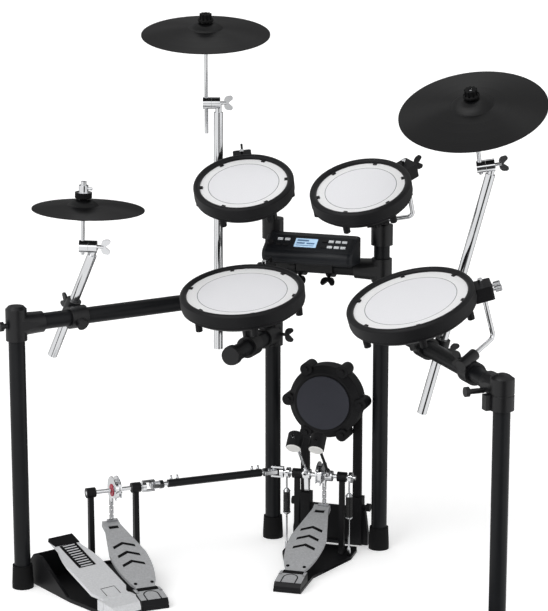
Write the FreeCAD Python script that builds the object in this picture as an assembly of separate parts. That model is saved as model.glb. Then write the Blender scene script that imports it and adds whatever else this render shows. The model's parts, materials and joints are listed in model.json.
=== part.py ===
import FreeCAD, Part
import math
import os

V = FreeCAD.Vector

# Clearances, in millimetres like every length below. Angles are in degrees.
fit_gap = 0.3
shaft_gap = 0.1

# Rack pipes and where they stand. +X is the player's right, -Y the player's side, +Z up.
# The crossbar lies under the posts' tops by its drop, and the arms lie under the crossbar by theirs.
rack_tube_diameter = 38.0
rack_tube_wall = 2.0
post_spacing = 274.6
post_height = 800.0
crossbar_drop = 103.0
left_wing_reach = 690.0
left_wing_angle = 51.4
left_arm_drop = 70.0
right_wing_reach = 665.0
right_wing_angle = 51.0
right_arm_drop = 130.0
snare_arm_drop = 177.0
snare_arm_reach = 250.0
snare_arm_angle = 4.1

# Moulded rack joints
joint_wall = 5.5
joint_sleeve_half = 28.0
joint_socket_length = 64.0
joint_flare_half = 27.0
joint_flare_length = 54.0
arm_setback = 24.5
corner_above = 44.0
corner_below = 36.0
corner_cap = 7.0
corner_bevel = 7.0
band_above = 23.0
band_below = 46.0
band_groove = 4.0
band_groove_depth = 2.0
dome_height = 12.0
knob_diameter = 22.0
knob_length = 9.0
knob_stem_diameter = 12.0
knob_stem_length = 12.0
long_knob_stem = 36.0
long_knob_along = 44.0
pivot_ear_reach = 26.0
pivot_ear_width = 20.0
end_cap_length = 14.0
end_cap_rib = 1.6
end_cap_ribs = 4

# Rubber feet
foot_height = 55.0
foot_sole = 8.0
foot_top_wall = 4.0
foot_bottom_wall = 6.0
foot_bead_height = 14.0

# Boom clamps and holders on the rack pipes
clamp_wall = 7.0
clamp_length = 42.0
clamp_ear_length = 16.0
clamp_ear_diameter = 26.0
boom_socket_wall = 6.5
boom_socket_length = 50.0
boom_bridge_diameter = 30.0
holder_barrel_wall = 8.0
holder_barrel_length = 46.0
holder_strut_diameter = 26.0
wing_stem_diameter = 8.0
wing_stem_length = 16.0
wing_span = 34.0
wing_height = 15.0
wing_thickness = 5.0

# Pads: visible head radius, then the sizes that all pads share
small_head_radius = 103.0
large_head_radius = 128.0
hoop_width = 15.5
hoop_rise = 9.0
hoop_skirt = 20.0
hoop_inner_round = 6.0
hoop_collar = 3.0
hook_count = 6
hook_width = 9.0
hook_reach = 7.0
hook_height = 3.5
head_thickness = 1.2
head_tuck = 2.0
rim_wall = 5.0
shell_wall = 3.5
shell_drop = 38.0
shell_belly = 48.0
shell_low_share = 0.84
shell_floor_share = 0.55
shell_flange_depth = 27.0
lug_radius = 8.0
lug_height = 16.0
lug_below = 8.0
box_length = 36.0
box_width = 44.0
box_height = 34.0
box_top = -5.0
box_round = 5.0
box_rod_distance = 14.0
box_screw_drop = 15.0
box_knob_spacing = 20.0
box_knob_radius = 7.5
box_knob_length = 15.0
box_knob_stem = 5.0
box_knob_flutes = 9
rod_diameter = 10.5
rod_bend_radius = 13.0
rod_above_head = 9.0

# Where each pad lies: middle of its head from the post, at the height of the pipe that carries it, then
# its facing, the side of its clamp box and the drop of its rod
tom_1_spot = (-15.7, -165.0, 114.0)
tom_1_facing = V(0.047, -0.423, 0.905)
tom_1_box_side = 109.0
tom_2_spot = (-6.3, -160.0, 118.0)
tom_2_facing = V(-0.042, -0.425, 0.904)
tom_2_box_side = 57.0
tom_1_rod_drop = 95.0
tom_2_rod_drop = 150.0
snare_spot = (41.3, -335.0, 173.0)
snare_facing = V(-0.007, -0.233, 0.973)
snare_box_side = 90.0
snare_rod_drop = 150.0
snare_holder_share = 0.56
floor_tom_spot = (187.7, -420.0, 154.0)
floor_tom_facing = V(-0.157, -0.31, 0.938)
floor_tom_box_side = 24.0
floor_tom_rod_drop = 140.0
floor_tom_holder_share = 0.77

# Cymbals: radius and bell, then where each lies and where its boom pipe ends, from the post at its arm's
# height
hihat_radius = 128.5
hihat_bell_radius = 36.0
hihat_bell_rise = 12.0
hihat_bow_rise = 9.0
hihat_spot = (-295.7, -430.0, 256.0)
hihat_facing = V(0.04, -0.004, 0.999)
hihat_boom_spot = (-414.2, -384.9, -105.1)
hihat_hub_spot = (-11.0, -3.0)
hihat_rod_drop = 102.0
hihat_tail = 19.0
crash_radius = 152.0
crash_bell_radius = 41.0
crash_bell_rise = 13.0
crash_bow_rise = 15.0
crash_spot = (-133.7, -97.0, 627.0)
crash_facing = V(0.07, -0.188, 0.981)
crash_boom_spot = (-121.5, -57.3, -141.3)
crash_rod_drop = 192.0
crash_tail = 76.0
ride_radius = 166.0
ride_bell_radius = 48.0
ride_bell_rise = 17.0
ride_bow_rise = 16.0
ride_spot = (279.7, -258.0, 555.0)
ride_facing = V(-0.022, -0.427, 0.904)
ride_boom_spot = (152.7, -180.0, -164.0)
ride_rod_drop = 174.0
ride_tail = 19.0

# Cymbal bodies, seats and nuts
cymbal_edge = 1.6
cymbal_thickness = 4.5
bow_shares = (0.25, 0.5, 0.75, 1.0)
bow_power = 1.4
cymbal_hub_radius = 16.0
cymbal_hub_half = 6.0
cymbal_pan_share = 0.66
cymbal_pan_taper = 12.0
cymbal_pan_depth = 6.0
cymbal_boss_radius = 26.0
cymbal_boss_drop = 24.0
cymbal_boss_bore = 15.0
hihat_pan_share = 0.8
seat_radius = 12.0
seat_half = 10.0
seat_sleeve_radius = 6.0
nut_gap = 0.6
nut_skirt_radius = 18.5
nut_skirt_height = 3.5
nut_radius = 14.5
nut_height = 17.0
nut_flutes = 10
nut_flute_radius = 2.4
clutch_radius = 11.0
clutch_height = 38.0
clutch_washer_radius = 19.5
clutch_washer_height = 13.0
clutch_neck_radius = 6.5
clutch_neck_height = 9.0
clutch_screw_diameter = 7.0
clutch_screw_length = 9.0

# Boom pipes, tilters and rods
boom_diameter = 22.2
boom_wall = 1.6
boom_cap = 6.0
neck_diameter = 15.0
neck_length = 8.0
neck_share = 0.8
barrel_diameter = 28.0
barrel_half = 20.0
barrel_rib = 1.5
cymbal_rod_diameter = 9.0
rod_inset = 13.0
rod_overhang = 8.0
tilter_turn = 19.0
rod_end_recess = 2.0

# Sound module
module_width = 224.0
module_middle = -20.0
module_over_crossbar = 16.0
module_back_gap = 0.5
module_back_rise = 67.0
module_front_rise = 66.0
module_lip_rise = 39.0
module_nose_rise = 22.0
module_foot_rise = 3.0
module_top_depth = 32.0
module_panel_depth = 38.0
module_nose_depth = 11.0
module_foot_depth = 19.0
module_end_depth = 10.0
module_end_shares = ((0, 1.0), (0.6, 0.965), (0.9, 0.92), (1.0, 0.87))
screen_width = 54.0
screen_height = 27.0
screen_thickness = 3.0
screen_proud = 1.2
screen_side = -8.0
key_width = 12.0
key_height = 6.5
key_depth = 4.0
key_proud = 1.8
key_gap = 0.4
key_columns_left = (-74.0, -56.0)
key_columns_right = (37.0, 53.0, 70.0, 86.0)
key_rows = (-9.0, 9.0)
volume_side = -94.0
volume_height = -7.0
volume_diameter = 15.0
volume_length = 9.0
volume_stem_diameter = 6.0
volume_stem_length = 6.0
bracket_ring_wall = 6.5
bracket_ring_width = 18.0
bracket_rings = (-50.0, 23.0)
bracket_plate_thickness = 3.6
bracket_plate_drop = 11.0
bracket_plate_rise = 55.0

# Kick pad and its stand
kick_centre_side = 10.0
kick_centre_rise = 172.0
kick_face_radius = 66.0
kick_face_thickness = 16.0
kick_face_crown = 5.0
kick_housing_radius = 90.0
kick_housing_depth = 70.0
kick_rim_width = 14.0
kick_lip = 8.0
kick_lug_radius = 15.0
kick_lug_circle = 91.0
kick_lug_depth = 50.0
kick_lugs = 6
kick_bolt_radius = 6.0
kick_bolt_height = 5.0
upright_spacing = 134.0
upright_width = 20.0
upright_depth = 14.0
socket_width = 31.0
socket_depth = 26.0
socket_bottom = 40.0
socket_top = 122.0
stand_plate_height = 96.0
stand_plate_thickness = 7.0
stand_foot_reach = 14.0
stand_floor_thickness = 8.0
stand_floor_depth = 96.0
stand_knob_diameter = 20.0
stand_knob_length = 22.0

# Pedals. Local frame: origin on the floor under the axle, +Y towards the drum.
kick_pedal_spot = (12.0, -87.0)
kick_pedal_turn = 3.0
slave_pedal_spot = (-412.0, -362.0)
slave_pedal_turn = 41.5
axle_height = 199.0
axle_diameter = 10.0
pedal_post_spacing = 112.0
pedal_post_width = 12.0
pedal_post_depth = 18.0
pedal_post_top_radius = 12.0
pedal_post_head_length = 22.0
pedal_base_thickness = 7.0
pedal_base_toe_width = 172.0
pedal_base_heel_width = 66.0
pedal_base_front = 34.0
pedal_heel_end = 293.0
pedal_hinge_back = 236.0
pedal_hinge_height = 27.0
pedal_hinge_diameter = 9.0
heel_width = 64.0
heel_thickness = 7.0
footboard_thickness = 7.0
footboard_toe_height = 112.0
footboard_toe_width = 40.0
footboard_wide = 88.0
footboard_wide_share = 0.52
footboard_waist = 62.0
footboard_slot_length = 12.0
footboard_slot_width = 24.0
footboard_slot_from_toe = 22.0
footboard_chevron_shares = (0.33, 0.46, 0.59)
footboard_chevron_half = 27.0
footboard_chevron_rise = 15.0
footboard_chevron_band = 10.0
footboard_chevron_depth = 1.6
footboard_rib_width = 8.0
footboard_rib_height = 7.0
cam_radius = 29.0
cam_width = 15.0
cam_cheek = 2.5
cam_cheek_rise = 4.0
cam_place = 4.0
hub_radius = 13.0
hub_width = 17.0
hub_top = 26.0
hub_neck = 13.0
hub_tail_drop = 34.0
hub_tail_radius = 8.0
right_hub_place = 24.0
left_hub_place = -31.0
axle_split = -9.0
axle_outer = 90.0
rocker_place = 78.0
rocker_width = 8.0
rocker_radius = 13.0
rocker_reach = 20.0
beater_length = 160.0
beater_lean = 45.0
beater_rod_diameter = 7.0
beater_head_radius = 19.0
beater_head_half = 20.5
beater_head_round = 3.0
beater_tip = 6.0
strike_gap = 0.6
chain_width = 9.0
chain_link_length = 11.0
chain_plate = 2.0
chain_thickness = 7.0
chain_pin_diameter = 4.2
tongue_width = 26.0
tongue_length = 7.0
tongue_height = 4.0
tongue_gap = 0.8

# Return springs on the kick pedal
spring_wire = 2.2
spring_coil_radius = 7.5
spring_pitch = 3.3
spring_turns = 15
spring_drop = 93.0
spring_cup_height = 7.0
spring_cup_radius = 9.5
spring_hook_diameter = 4.5
spring_foot_height = 28.0

# Drive shaft with its universal joints
slave_joint_reach = 98.0
kick_joint_reach = 116.0
yoke_hub_radius = 10.0
yoke_hub_near = 17.0
yoke_hub_far = 26.0
yoke_prong_near = 9.5
yoke_prong_thickness = 4.0
yoke_prong_width = 9.0
yoke_prong_past = 5.0
yoke_block = 11.0
yoke_pin_gap = 0.8
shaft_rod_diameter = 11.0
shaft_tube_diameter = 19.0
shaft_tube_from_share = 0.07
shaft_tube_to_share = 0.84

# Hi-hat pedal. Local frame: origin on the floor under the footboard hinge, +Y towards the toe.
hihat_pedal_spot = (-300.0, -617.0)
hihat_pedal_turn = 56.0
hihat_board_length = 250.0
hihat_board_thickness = 8.0
hihat_board_width = 92.0
hihat_board_toe_width = 64.0
hihat_hinge_height = 30.0
hihat_toe_height = 110.0
hihat_heel_length = 48.0
hihat_heel_width = 88.0
hihat_heel_end_width = 72.0
hihat_base_thickness = 9.0
hihat_base_heel_width = 74.0
hihat_wall_thickness = 8.0
hihat_wall_height = 74.0
hihat_wall_from_share = 0.45
hihat_toe_block = 58.0
hihat_toe_block_height = 62.0
hihat_recess_shares = (0.53, 0.85)
hihat_recess_width = 46.0
hihat_recess_depth = 2.2
hihat_bar_count = 10
hihat_bar_share = 0.5
hihat_bar_proud = 0.5
hihat_toe_cap_share = 0.86
hihat_toe_cap_height = 1.6

# Worked-out places
tube_radius = rack_tube_diameter / 2
joint_radius = tube_radius + joint_wall
boom_radius = boom_diameter / 2
left_post = V(-post_spacing / 2, 0, 0)
right_post = V(post_spacing / 2, 0, 0)
up = V(0, 0, 1)
crossbar_height = post_height - crossbar_drop
left_arm_height = crossbar_height - left_arm_drop
right_arm_height = crossbar_height - right_arm_drop
snare_arm_height = crossbar_height - snare_arm_drop
module_back = -tube_radius - bracket_ring_wall - module_back_gap
module_bottom = crossbar_height + module_over_crossbar
module_top_front = module_back - module_top_depth
module_lip = module_top_front - module_panel_depth
module_nose = module_lip - module_nose_depth
kick_centre_height = axle_height + kick_centre_rise
spring_bottom = axle_height - spring_drop


def turn_vector(angle):
    return V(math.cos(math.radians(angle)), math.sin(math.radians(angle)), 0)


def unit(vector):
    return V(vector).normalize()


def in_plane(vector, normal):
    return unit(vector - normal * vector.dot(normal))


left_wing_direction = turn_vector(180 + left_wing_angle)
right_wing_direction = turn_vector(-right_wing_angle)
snare_arm_direction = turn_vector(-90 - snare_arm_angle)
left_leg = left_post + left_wing_direction * left_wing_reach
right_leg = right_post + right_wing_direction * right_wing_reach


def frame(origin, z_axis, x_hint):
    z = unit(z_axis)
    x = in_plane(x_hint, z)
    y = z.cross(x)
    matrix = FreeCAD.Matrix(x.x, y.x, z.x, origin.x, x.y, y.y, z.y, origin.y,
                            x.z, y.z, z.z, origin.z, 0, 0, 0, 1)
    return FreeCAD.Placement(matrix)


def put(shape, place):
    moved = shape.copy()
    moved.Placement = place.multiply(moved.Placement)
    return moved


def bar(start, end, diameter):
    return Part.makeCylinder(diameter / 2, (end - start).Length, start, end - start)


def pipe(start, end, diameter, wall):
    return bar(start, end, diameter).cut(bar(start, end, diameter - 2 * wall))


def block(low, high):
    size = high - low
    return Part.makeBox(size.x, size.y, size.z, low)


def join(*shapes):
    return shapes[0].multiFuse(list(shapes[1:])).removeSplitter()


def outline(points, lift):
    """Closed wire: a pair is a corner, a foursome an arc through its first two numbers to its last two."""
    edges = []
    here = points[0]
    closing = [] if points[-1][-2:] == points[0] else [points[0]]
    for step in list(points[1:]) + closing:
        end = step[-2:]
        if len(step) == 4:
            edges.append(Part.Arc(lift(*here), lift(*step[:2]), lift(*end)).toShape())
        else:
            edges.append(Part.makeLine(lift(*here), lift(*end)))
        here = end
    return Part.Wire(edges)


def turned(points):
    section = Part.Face(outline(points, lambda r, z: V(r, 0, z)))
    return section.revolve(V(0, 0, 0), up, 360)


def cap_middle(radius, rise):
    """Point halfway along a spherical cap's section, as its distance out and its height over the rim."""
    ball = (radius ** 2 + rise ** 2) / (2 * rise)
    lean = math.asin(radius / ball) / 2
    return ball * math.sin(lean), rise - ball * (1 - math.cos(lean))


def extruded(points, lift, depth):
    return Part.Face(outline(points, lift)).extrude(depth)


def plan(x, y):
    return V(x, y, 0)


def side(y, z):
    return V(0, y, z)


def over(post, height, spot):
    return post + V(0, 0, height) + V(*spot)


def ring(shape, count, start=0):
    turns = []
    for index in range(count):
        turns.append(shape.copy())
        turns[-1].rotate(V(0, 0, 0), up, start + 360 * index / count)
    return turns


def wing_bolt(root, direction):
    """Stem with a two-eared wing at its outer end."""
    place = frame(root, direction, up if abs(unit(direction).z) < math.sqrt(0.5) else V(1, 0, 0))
    stem = Part.makeCylinder(wing_stem_diameter / 2, wing_stem_length)
    half = wing_span / 2
    low = wing_stem_length - wing_thickness
    tip = wing_stem_length + wing_height
    shoulder = wing_stem_length + wing_height / 2
    wing = extruded(
        [(-wing_stem_diameter / 2, low), (-half * 0.9, wing_stem_length, -half, shoulder),
         (-half * 0.85, tip, -half / 2, tip), (0, wing_stem_length + wing_thickness), (half / 2, tip),
         (half * 0.85, tip, half, shoulder), (half * 0.9, wing_stem_length, wing_stem_diameter / 2, low)],
        lambda x, z: V(x, -wing_thickness / 2, z), V(0, wing_thickness, 0))
    return put(join(stem, wing), place)


def bolt_knob(root, direction, stem_length):
    stem_end = root + unit(direction) * stem_length
    knob = Part.makeCylinder(knob_diameter / 2, knob_length, stem_end, direction)
    return [bar(root, stem_end, knob_stem_diameter), knob]


# Rack


def rack_foot(at):
    bottom = tube_radius + foot_bottom_wall
    top = tube_radius + foot_top_wall
    bore = tube_radius + fit_gap
    cup = turned([(0, 0), (bottom, 0), (bottom, foot_bead_height), (top, foot_height), (bore, foot_height),
                  (bore, foot_sole), (0, foot_sole)])
    return put(cup, frame(at, up, V(1, 0, 0)))


def leg_pipe(at, top):
    foot_seat = V(0, 0, foot_sole)
    return pipe(at + foot_seat, at + V(0, 0, top), rack_tube_diameter, rack_tube_wall)


def joint_flare(above, below):
    """Web that spreads a socket's mouth over the height of its sleeve."""
    cone = Part.makeCone(joint_flare_half, joint_radius, joint_flare_length, V(0, 0, 0), V(1, 0, 0))
    slab = block(V(0, -joint_radius, -below), V(joint_flare_length, joint_radius, above))
    return cone.common(slab)


def tee_joint(above, below, cap):
    """Sleeve on an upright pipe with a side socket along +X; a cap closes the sleeve's top."""
    if cap:
        sleeve = turned([(0, -below), (joint_radius, -below), (joint_radius, above - corner_bevel),
                         (joint_radius - corner_bevel, above), (0, above)])
    else:
        sleeve = Part.makeCylinder(joint_radius, above + below, V(0, 0, -below))
    socket = Part.makeCylinder(joint_radius, joint_socket_length, V(0, 0, 0), V(1, 0, 0))
    body = join(sleeve, socket, joint_flare(above, below))
    post_bore = Part.makeCylinder(tube_radius + fit_gap, above + below - cap, V(0, 0, -below))
    arm_bore = Part.makeCylinder(tube_radius + fit_gap, joint_socket_length, V(arm_setback, 0, 0), V(1, 0, 0))
    return body.cut([post_bore, arm_bore])


def corner_joint():
    """Capped corner of the left wing with a round bolt knob on its far side."""
    body = tee_joint(corner_above, corner_below, corner_cap)
    knob = bolt_knob(V(joint_wall / 2 - joint_radius, 0, 0), V(-1, 0, 0), knob_stem_length)
    return join(body, *knob)


def band_clamp():
    """Split two-band clamp of the right wing, with a domed pipe cap above it."""
    radius = joint_radius + band_groove_depth
    band = Part.makeCylinder(radius, band_above + band_below, V(0, 0, -band_below))
    middle = (band_above - band_below) / 2
    groove = Part.makeCylinder(radius, band_groove, V(0, 0, middle - band_groove / 2))
    groove_floor = radius - band_groove_depth * 0.7
    groove = groove.cut(Part.makeCylinder(groove_floor, band_groove, V(0, 0, middle - band_groove / 2)))
    out, rise = cap_middle(joint_radius, dome_height)
    dome = turned([(0, 0), (joint_radius, 0), (joint_radius, band_above),
                   (out, band_above + rise, 0, band_above + dome_height)])
    socket = Part.makeCylinder(joint_radius, joint_socket_length, V(0, 0, 0), V(1, 0, 0))
    knob_root = V(long_knob_along, joint_radius - joint_wall / 2, -joint_radius / 2)
    knob = bolt_knob(knob_root, V(0, 1, 0), long_knob_stem)
    ear = block(V(0, 0, -band_below),
                V(pivot_ear_width, joint_radius + pivot_ear_reach / 2, -joint_radius / 2))
    body = join(band.cut(groove), dome, socket, joint_flare(band_above, band_below), ear, *knob)
    bore_depth = band_above + band_below - joint_wall
    post_bore = Part.makeCylinder(tube_radius + fit_gap, bore_depth, V(0, 0, -band_below))
    arm_bore = Part.makeCylinder(tube_radius + fit_gap, joint_socket_length, V(arm_setback, 0, 0), V(1, 0, 0))
    return body.cut([post_bore, arm_bore])


def ribbed_end_cap(end, direction):
    """Pipe end cap with raised rings round its skirt."""
    inner = tube_radius + fit_gap
    points = [(inner, end_cap_length)]
    step = end_cap_length / (2 * end_cap_ribs)
    for rib in range(end_cap_ribs):
        top = end_cap_length - 2 * rib * step
        points += [(inner + joint_wall / 2, top), (inner + joint_wall / 2 + end_cap_rib, top - step / 2),
                   (inner + joint_wall / 2, top - step)]
    points += [(inner + joint_wall / 2, -joint_wall), (0, -joint_wall), (0, -fit_gap), (inner, -fit_gap)]
    return put(turned(points), frame(end, -direction, up))


def snare_clamp():
    """Tee joint with a wing bolt on the player's right."""
    bolt = wing_bolt(V(0, joint_radius - joint_wall / 2, 0), V(0, 1, 0))
    return join(tee_joint(joint_sleeve_half, joint_sleeve_half, 0), bolt)


def arm_pipe(post, direction, reach, height):
    level = V(0, 0, height)
    start = post + level + direction * (arm_setback + fit_gap)
    end = post + level + direction * (reach - arm_setback - fit_gap)
    return pipe(start, end, rack_tube_diameter, rack_tube_wall)


def joint_at(joint, post, height, direction):
    return put(joint, frame(post + V(0, 0, height), up, direction))


# Clamps and holders on the pipes


def nearest_on_line(point, origin, direction):
    return origin + direction * (point - origin).dot(direction)


def line_feet(origin_a, direction_a, origin_b, direction_b):
    """The two points where a pair of skew lines come nearest each other."""
    between = origin_b - origin_a
    turn = direction_a.dot(direction_b)
    along_a = (between.dot(direction_a) - turn * between.dot(direction_b)) / (1 - turn * turn)
    foot_a = origin_a + direction_a * along_a
    return foot_a, nearest_on_line(foot_a, origin_b, direction_b)


def boom_clamp(arm_point, arm_direction, boom_low, boom_top):
    """Band round a rack arm joined to a slotted socket for a boom pipe, with a wing bolt."""
    boom_direction = unit(boom_top - boom_low)
    arm_foot, boom_foot = line_feet(arm_point, arm_direction, boom_low, boom_direction)
    half_band = arm_direction * (clamp_length / 2)
    half_socket = boom_direction * (boom_socket_length / 2)
    across = unit(boom_foot - arm_foot)
    band = bar(arm_foot - half_band, arm_foot + half_band, rack_tube_diameter + 2 * clamp_wall)
    socket = bar(boom_foot - half_socket, boom_foot + half_socket, boom_diameter + 2 * boom_socket_wall)
    bridge = bar(arm_foot, boom_foot, boom_bridge_diameter)
    ear_end = arm_foot - across * (tube_radius + clamp_ear_length)
    ear = bar(arm_foot, ear_end, clamp_ear_diameter)
    bolt_root = boom_foot + across * (boom_radius + boom_socket_wall / 2)
    body = join(band, socket, bridge, ear, wing_bolt(bolt_root, across))
    arm_bore = bar(arm_foot - half_band, arm_foot + half_band, rack_tube_diameter + 2 * fit_gap)
    boom_bore = bar(boom_foot - half_socket, boom_foot + half_socket, boom_diameter + 2 * fit_gap)
    return body.cut([arm_bore, boom_bore])


def rod_holder(pipe_point, pipe_direction, leg_end, leg_direction, closed):
    """Band round a pipe with a strut to the barrel that grips a pad's rod; closed caps a post's top."""
    half_band = pipe_direction * (clamp_length / 2)
    low = pipe_point - half_band
    high = pipe_point + half_band
    lid = pipe_direction * (clamp_wall if closed else 0)
    band = bar(low, high + lid, rack_tube_diameter + 2 * clamp_wall)
    barrel_start = leg_end - leg_direction * holder_barrel_length
    barrel_end = leg_end + leg_direction * clamp_wall
    barrel_diameter_here = rod_diameter + 2 * holder_barrel_wall
    barrel = bar(barrel_start, barrel_end, barrel_diameter_here)
    middle = (barrel_start + barrel_end) * 0.5
    strut = bar(pipe_point, middle, holder_strut_diameter)
    bolt_side = in_plane(pipe_point - middle, leg_direction).cross(leg_direction)
    bolt = wing_bolt(middle + bolt_side * (rod_diameter / 2 + holder_barrel_wall / 2), bolt_side)
    body = join(band, strut, barrel, bolt)
    pipe_bore = bar(low, high, rack_tube_diameter + 2 * fit_gap)
    rod_bore = bar(barrel_start, leg_end + leg_direction * fit_gap, rod_diameter + 2 * shaft_gap)
    return body.cut([pipe_bore, rod_bore])


# Pads


def box_knob(root):
    """Knurled clamp knob on a short stem."""
    radius = box_knob_radius
    end = box_knob_stem + box_knob_length
    body = turned([(0, 0), (radius / 2, 0), (radius / 2, box_knob_stem), (radius, box_knob_stem),
                   (radius, end - shell_wall / 2), (radius - shell_wall / 2, end), (0, end)])
    flute = Part.makeCylinder(shell_wall / 2, box_knob_length, V(radius + shell_wall / 4, 0, box_knob_stem))
    return put(body.cut(ring(flute, box_knob_flutes)), frame(root, V(1, 0, 0), V(0, 0, 1)))


class Pad:
    """One drum pad: its own frame, its rod's route and the point of the pipe that carries its holder."""

    def __init__(self, head_radius, centre, facing, box_side, rod_drop, pipe_point, knobs=False):
        self.head_radius = head_radius
        self.knobs = knobs
        self.hoop_radius = head_radius + hoop_width
        self.axis = unit(facing)
        self.centre = centre
        self.place = frame(centre, self.axis, turn_vector(box_side))
        radial = in_plane(turn_vector(box_side), self.axis)
        self.rod_distance = self.hoop_radius + box_rod_distance
        top = centre + radial * self.rod_distance
        self.rod_top = top + self.axis * rod_above_head
        self.bend = top - self.axis * rod_drop
        flat = pipe_point - self.bend
        flat = flat - self.axis * flat.dot(self.axis)
        self.leg_direction = unit(flat)
        self.leg_end = self.bend + flat + self.leg_direction * (holder_barrel_length / 2)

    def rod(self):
        """Chrome rod: upright leg, a round bend and the leg that turns in the holder."""
        before = self.bend + self.axis * rod_bend_radius
        after = self.bend + self.leg_direction * rod_bend_radius
        centre = before + self.leg_direction * rod_bend_radius
        inward = unit(self.bend - centre)
        arc = Part.Arc(before, centre + inward * rod_bend_radius, after).toShape()
        route = Part.Wire([Part.makeLine(self.rod_top, before), arc, Part.makeLine(after, self.leg_end)])
        section = Part.Wire([Part.makeCircle(rod_diameter / 2, self.rod_top, self.axis)])
        return route.makePipeShell([section], True, True)

    def head(self):
        disc = Part.makeCylinder(self.head_radius + head_tuck, head_thickness, V(0, 0, -head_thickness))
        return put(disc, self.place)

    def hoop(self):
        """Rubber ring with a rounded crown and six hook tabs over the head's edge."""
        inner = self.head_radius
        outer = self.hoop_radius
        collar = inner + hoop_collar
        crown = (inner + outer) / 2
        body = turned([(inner, fit_gap), (inner, hoop_rise - hoop_inner_round),
                       (crown, hoop_rise, outer, hoop_rise - hoop_inner_round), (outer, -hoop_skirt),
                       (collar, -hoop_skirt), (collar, fit_gap)])
        tab = block(V(inner - hook_reach, -hook_width / 2, fit_gap), V(crown, hook_width / 2, hook_height))
        return put(join(body, *ring(tab, hook_count, 180 / hook_count)), self.place)

    def shell(self):
        """Dished shell with a bearing edge, six lugs and the clamp box that holds the rod."""
        edge = self.head_radius + head_tuck
        seat = -head_thickness
        outer = self.hoop_radius - shell_wall / 2
        low = outer * shell_low_share
        floor = outer * shell_floor_share
        flange = -shell_flange_depth
        under_hoop = -hoop_skirt - fit_gap
        dish = turned([(edge - rim_wall, seat), (edge, seat), (edge, under_hoop), (outer, under_hoop),
                       (outer, -shell_drop * 0.7), ((outer + low) / 2, -shell_drop * 0.93),
                       (low, -shell_drop), (floor, -shell_belly), (0, -shell_belly),
                       (0, -shell_belly + shell_wall),
                       (floor, -shell_belly + shell_wall), (low - 2 * shell_wall, -shell_drop + shell_wall),
                       (low - shell_wall, flange - shell_wall), (edge - rim_wall, flange)])
        lug = Part.makeCylinder(lug_radius, lug_height, V(outer - lug_radius, 0, -shell_drop - lug_below))
        shade = Part.makeSphere(lug_radius, V(outer - lug_radius, 0, -shell_drop - lug_below + lug_height))
        lugs = ring(join(lug, shade), hook_count, 180 / hook_count)
        body = join(dish, *lugs)
        clear = Part.makeCylinder(edge - rim_wall, shell_belly - shell_wall + seat,
                                  V(0, 0, -shell_belly + shell_wall))
        lug_clear = Part.makeCylinder(low - 2 * shell_wall, shell_drop, V(0, 0, -shell_drop + shell_wall))
        body = body.cut(lug_clear.common(clear))
        start = self.hoop_radius + fit_gap
        box = block(V(start - 2 * shell_wall, -box_width / 2, box_top - box_height),
                    V(start + box_length, box_width / 2, box_top))
        upright = [edge for edge in box.Edges if abs(edge.BoundBox.ZLength - box_height) < fit_gap]
        box = box.makeFillet(box_round, [edge for edge in upright if edge.BoundBox.XMin > start])
        hoop_clear = Part.makeCylinder(start, hoop_skirt + hoop_rise, V(0, 0, under_hoop))
        box = box.cut(hoop_clear)
        bore = Part.makeCylinder(rod_diameter / 2 + shaft_gap, 2 * box_height,
                                 V(self.rod_distance, 0, box_top - box_height * 1.5))
        end = V(start + box_length, 0, box_top - box_screw_drop)
        if self.knobs:
            whole = [join(body, box).cut(bore)]
            for sign in (-1, 1):
                whole.append(box_knob(end + V(0, sign * box_knob_spacing / 2, 0)))
        else:
            whole = [join(body, box, wing_bolt(end - V(shell_wall, 0, 0), V(1, 0, 0))).cut(bore)]
        return [put(solid, self.place) for solid in whole]

    def holder(self, pipe_point, pipe_direction, closed=False):
        return rod_holder(pipe_point, pipe_direction, self.leg_end, self.leg_direction, closed)


tom_holder_level = V(0, 0, post_height - clamp_length / 2)
snare_level = left_post + V(0, 0, snare_arm_height)
right_arm_level = right_post + V(0, 0, right_arm_height)
snare_holder_point = snare_level + snare_arm_direction * (snare_arm_reach * snare_holder_share)
floor_tom_holder_point = right_arm_level + right_wing_direction * (right_wing_reach * floor_tom_holder_share)

tom_1 = Pad(small_head_radius, over(left_post, post_height, tom_1_spot), tom_1_facing, tom_1_box_side,
            tom_1_rod_drop, left_post + tom_holder_level)
tom_2 = Pad(small_head_radius, over(right_post, post_height, tom_2_spot), tom_2_facing, tom_2_box_side,
            tom_2_rod_drop, right_post + tom_holder_level)
snare = Pad(large_head_radius, over(left_post, snare_arm_height, snare_spot), snare_facing, snare_box_side,
            snare_rod_drop, snare_holder_point)
floor_tom = Pad(large_head_radius, over(right_post, right_arm_height, floor_tom_spot), floor_tom_facing,
                floor_tom_box_side, floor_tom_rod_drop, floor_tom_holder_point, True)


# Cymbals


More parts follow.
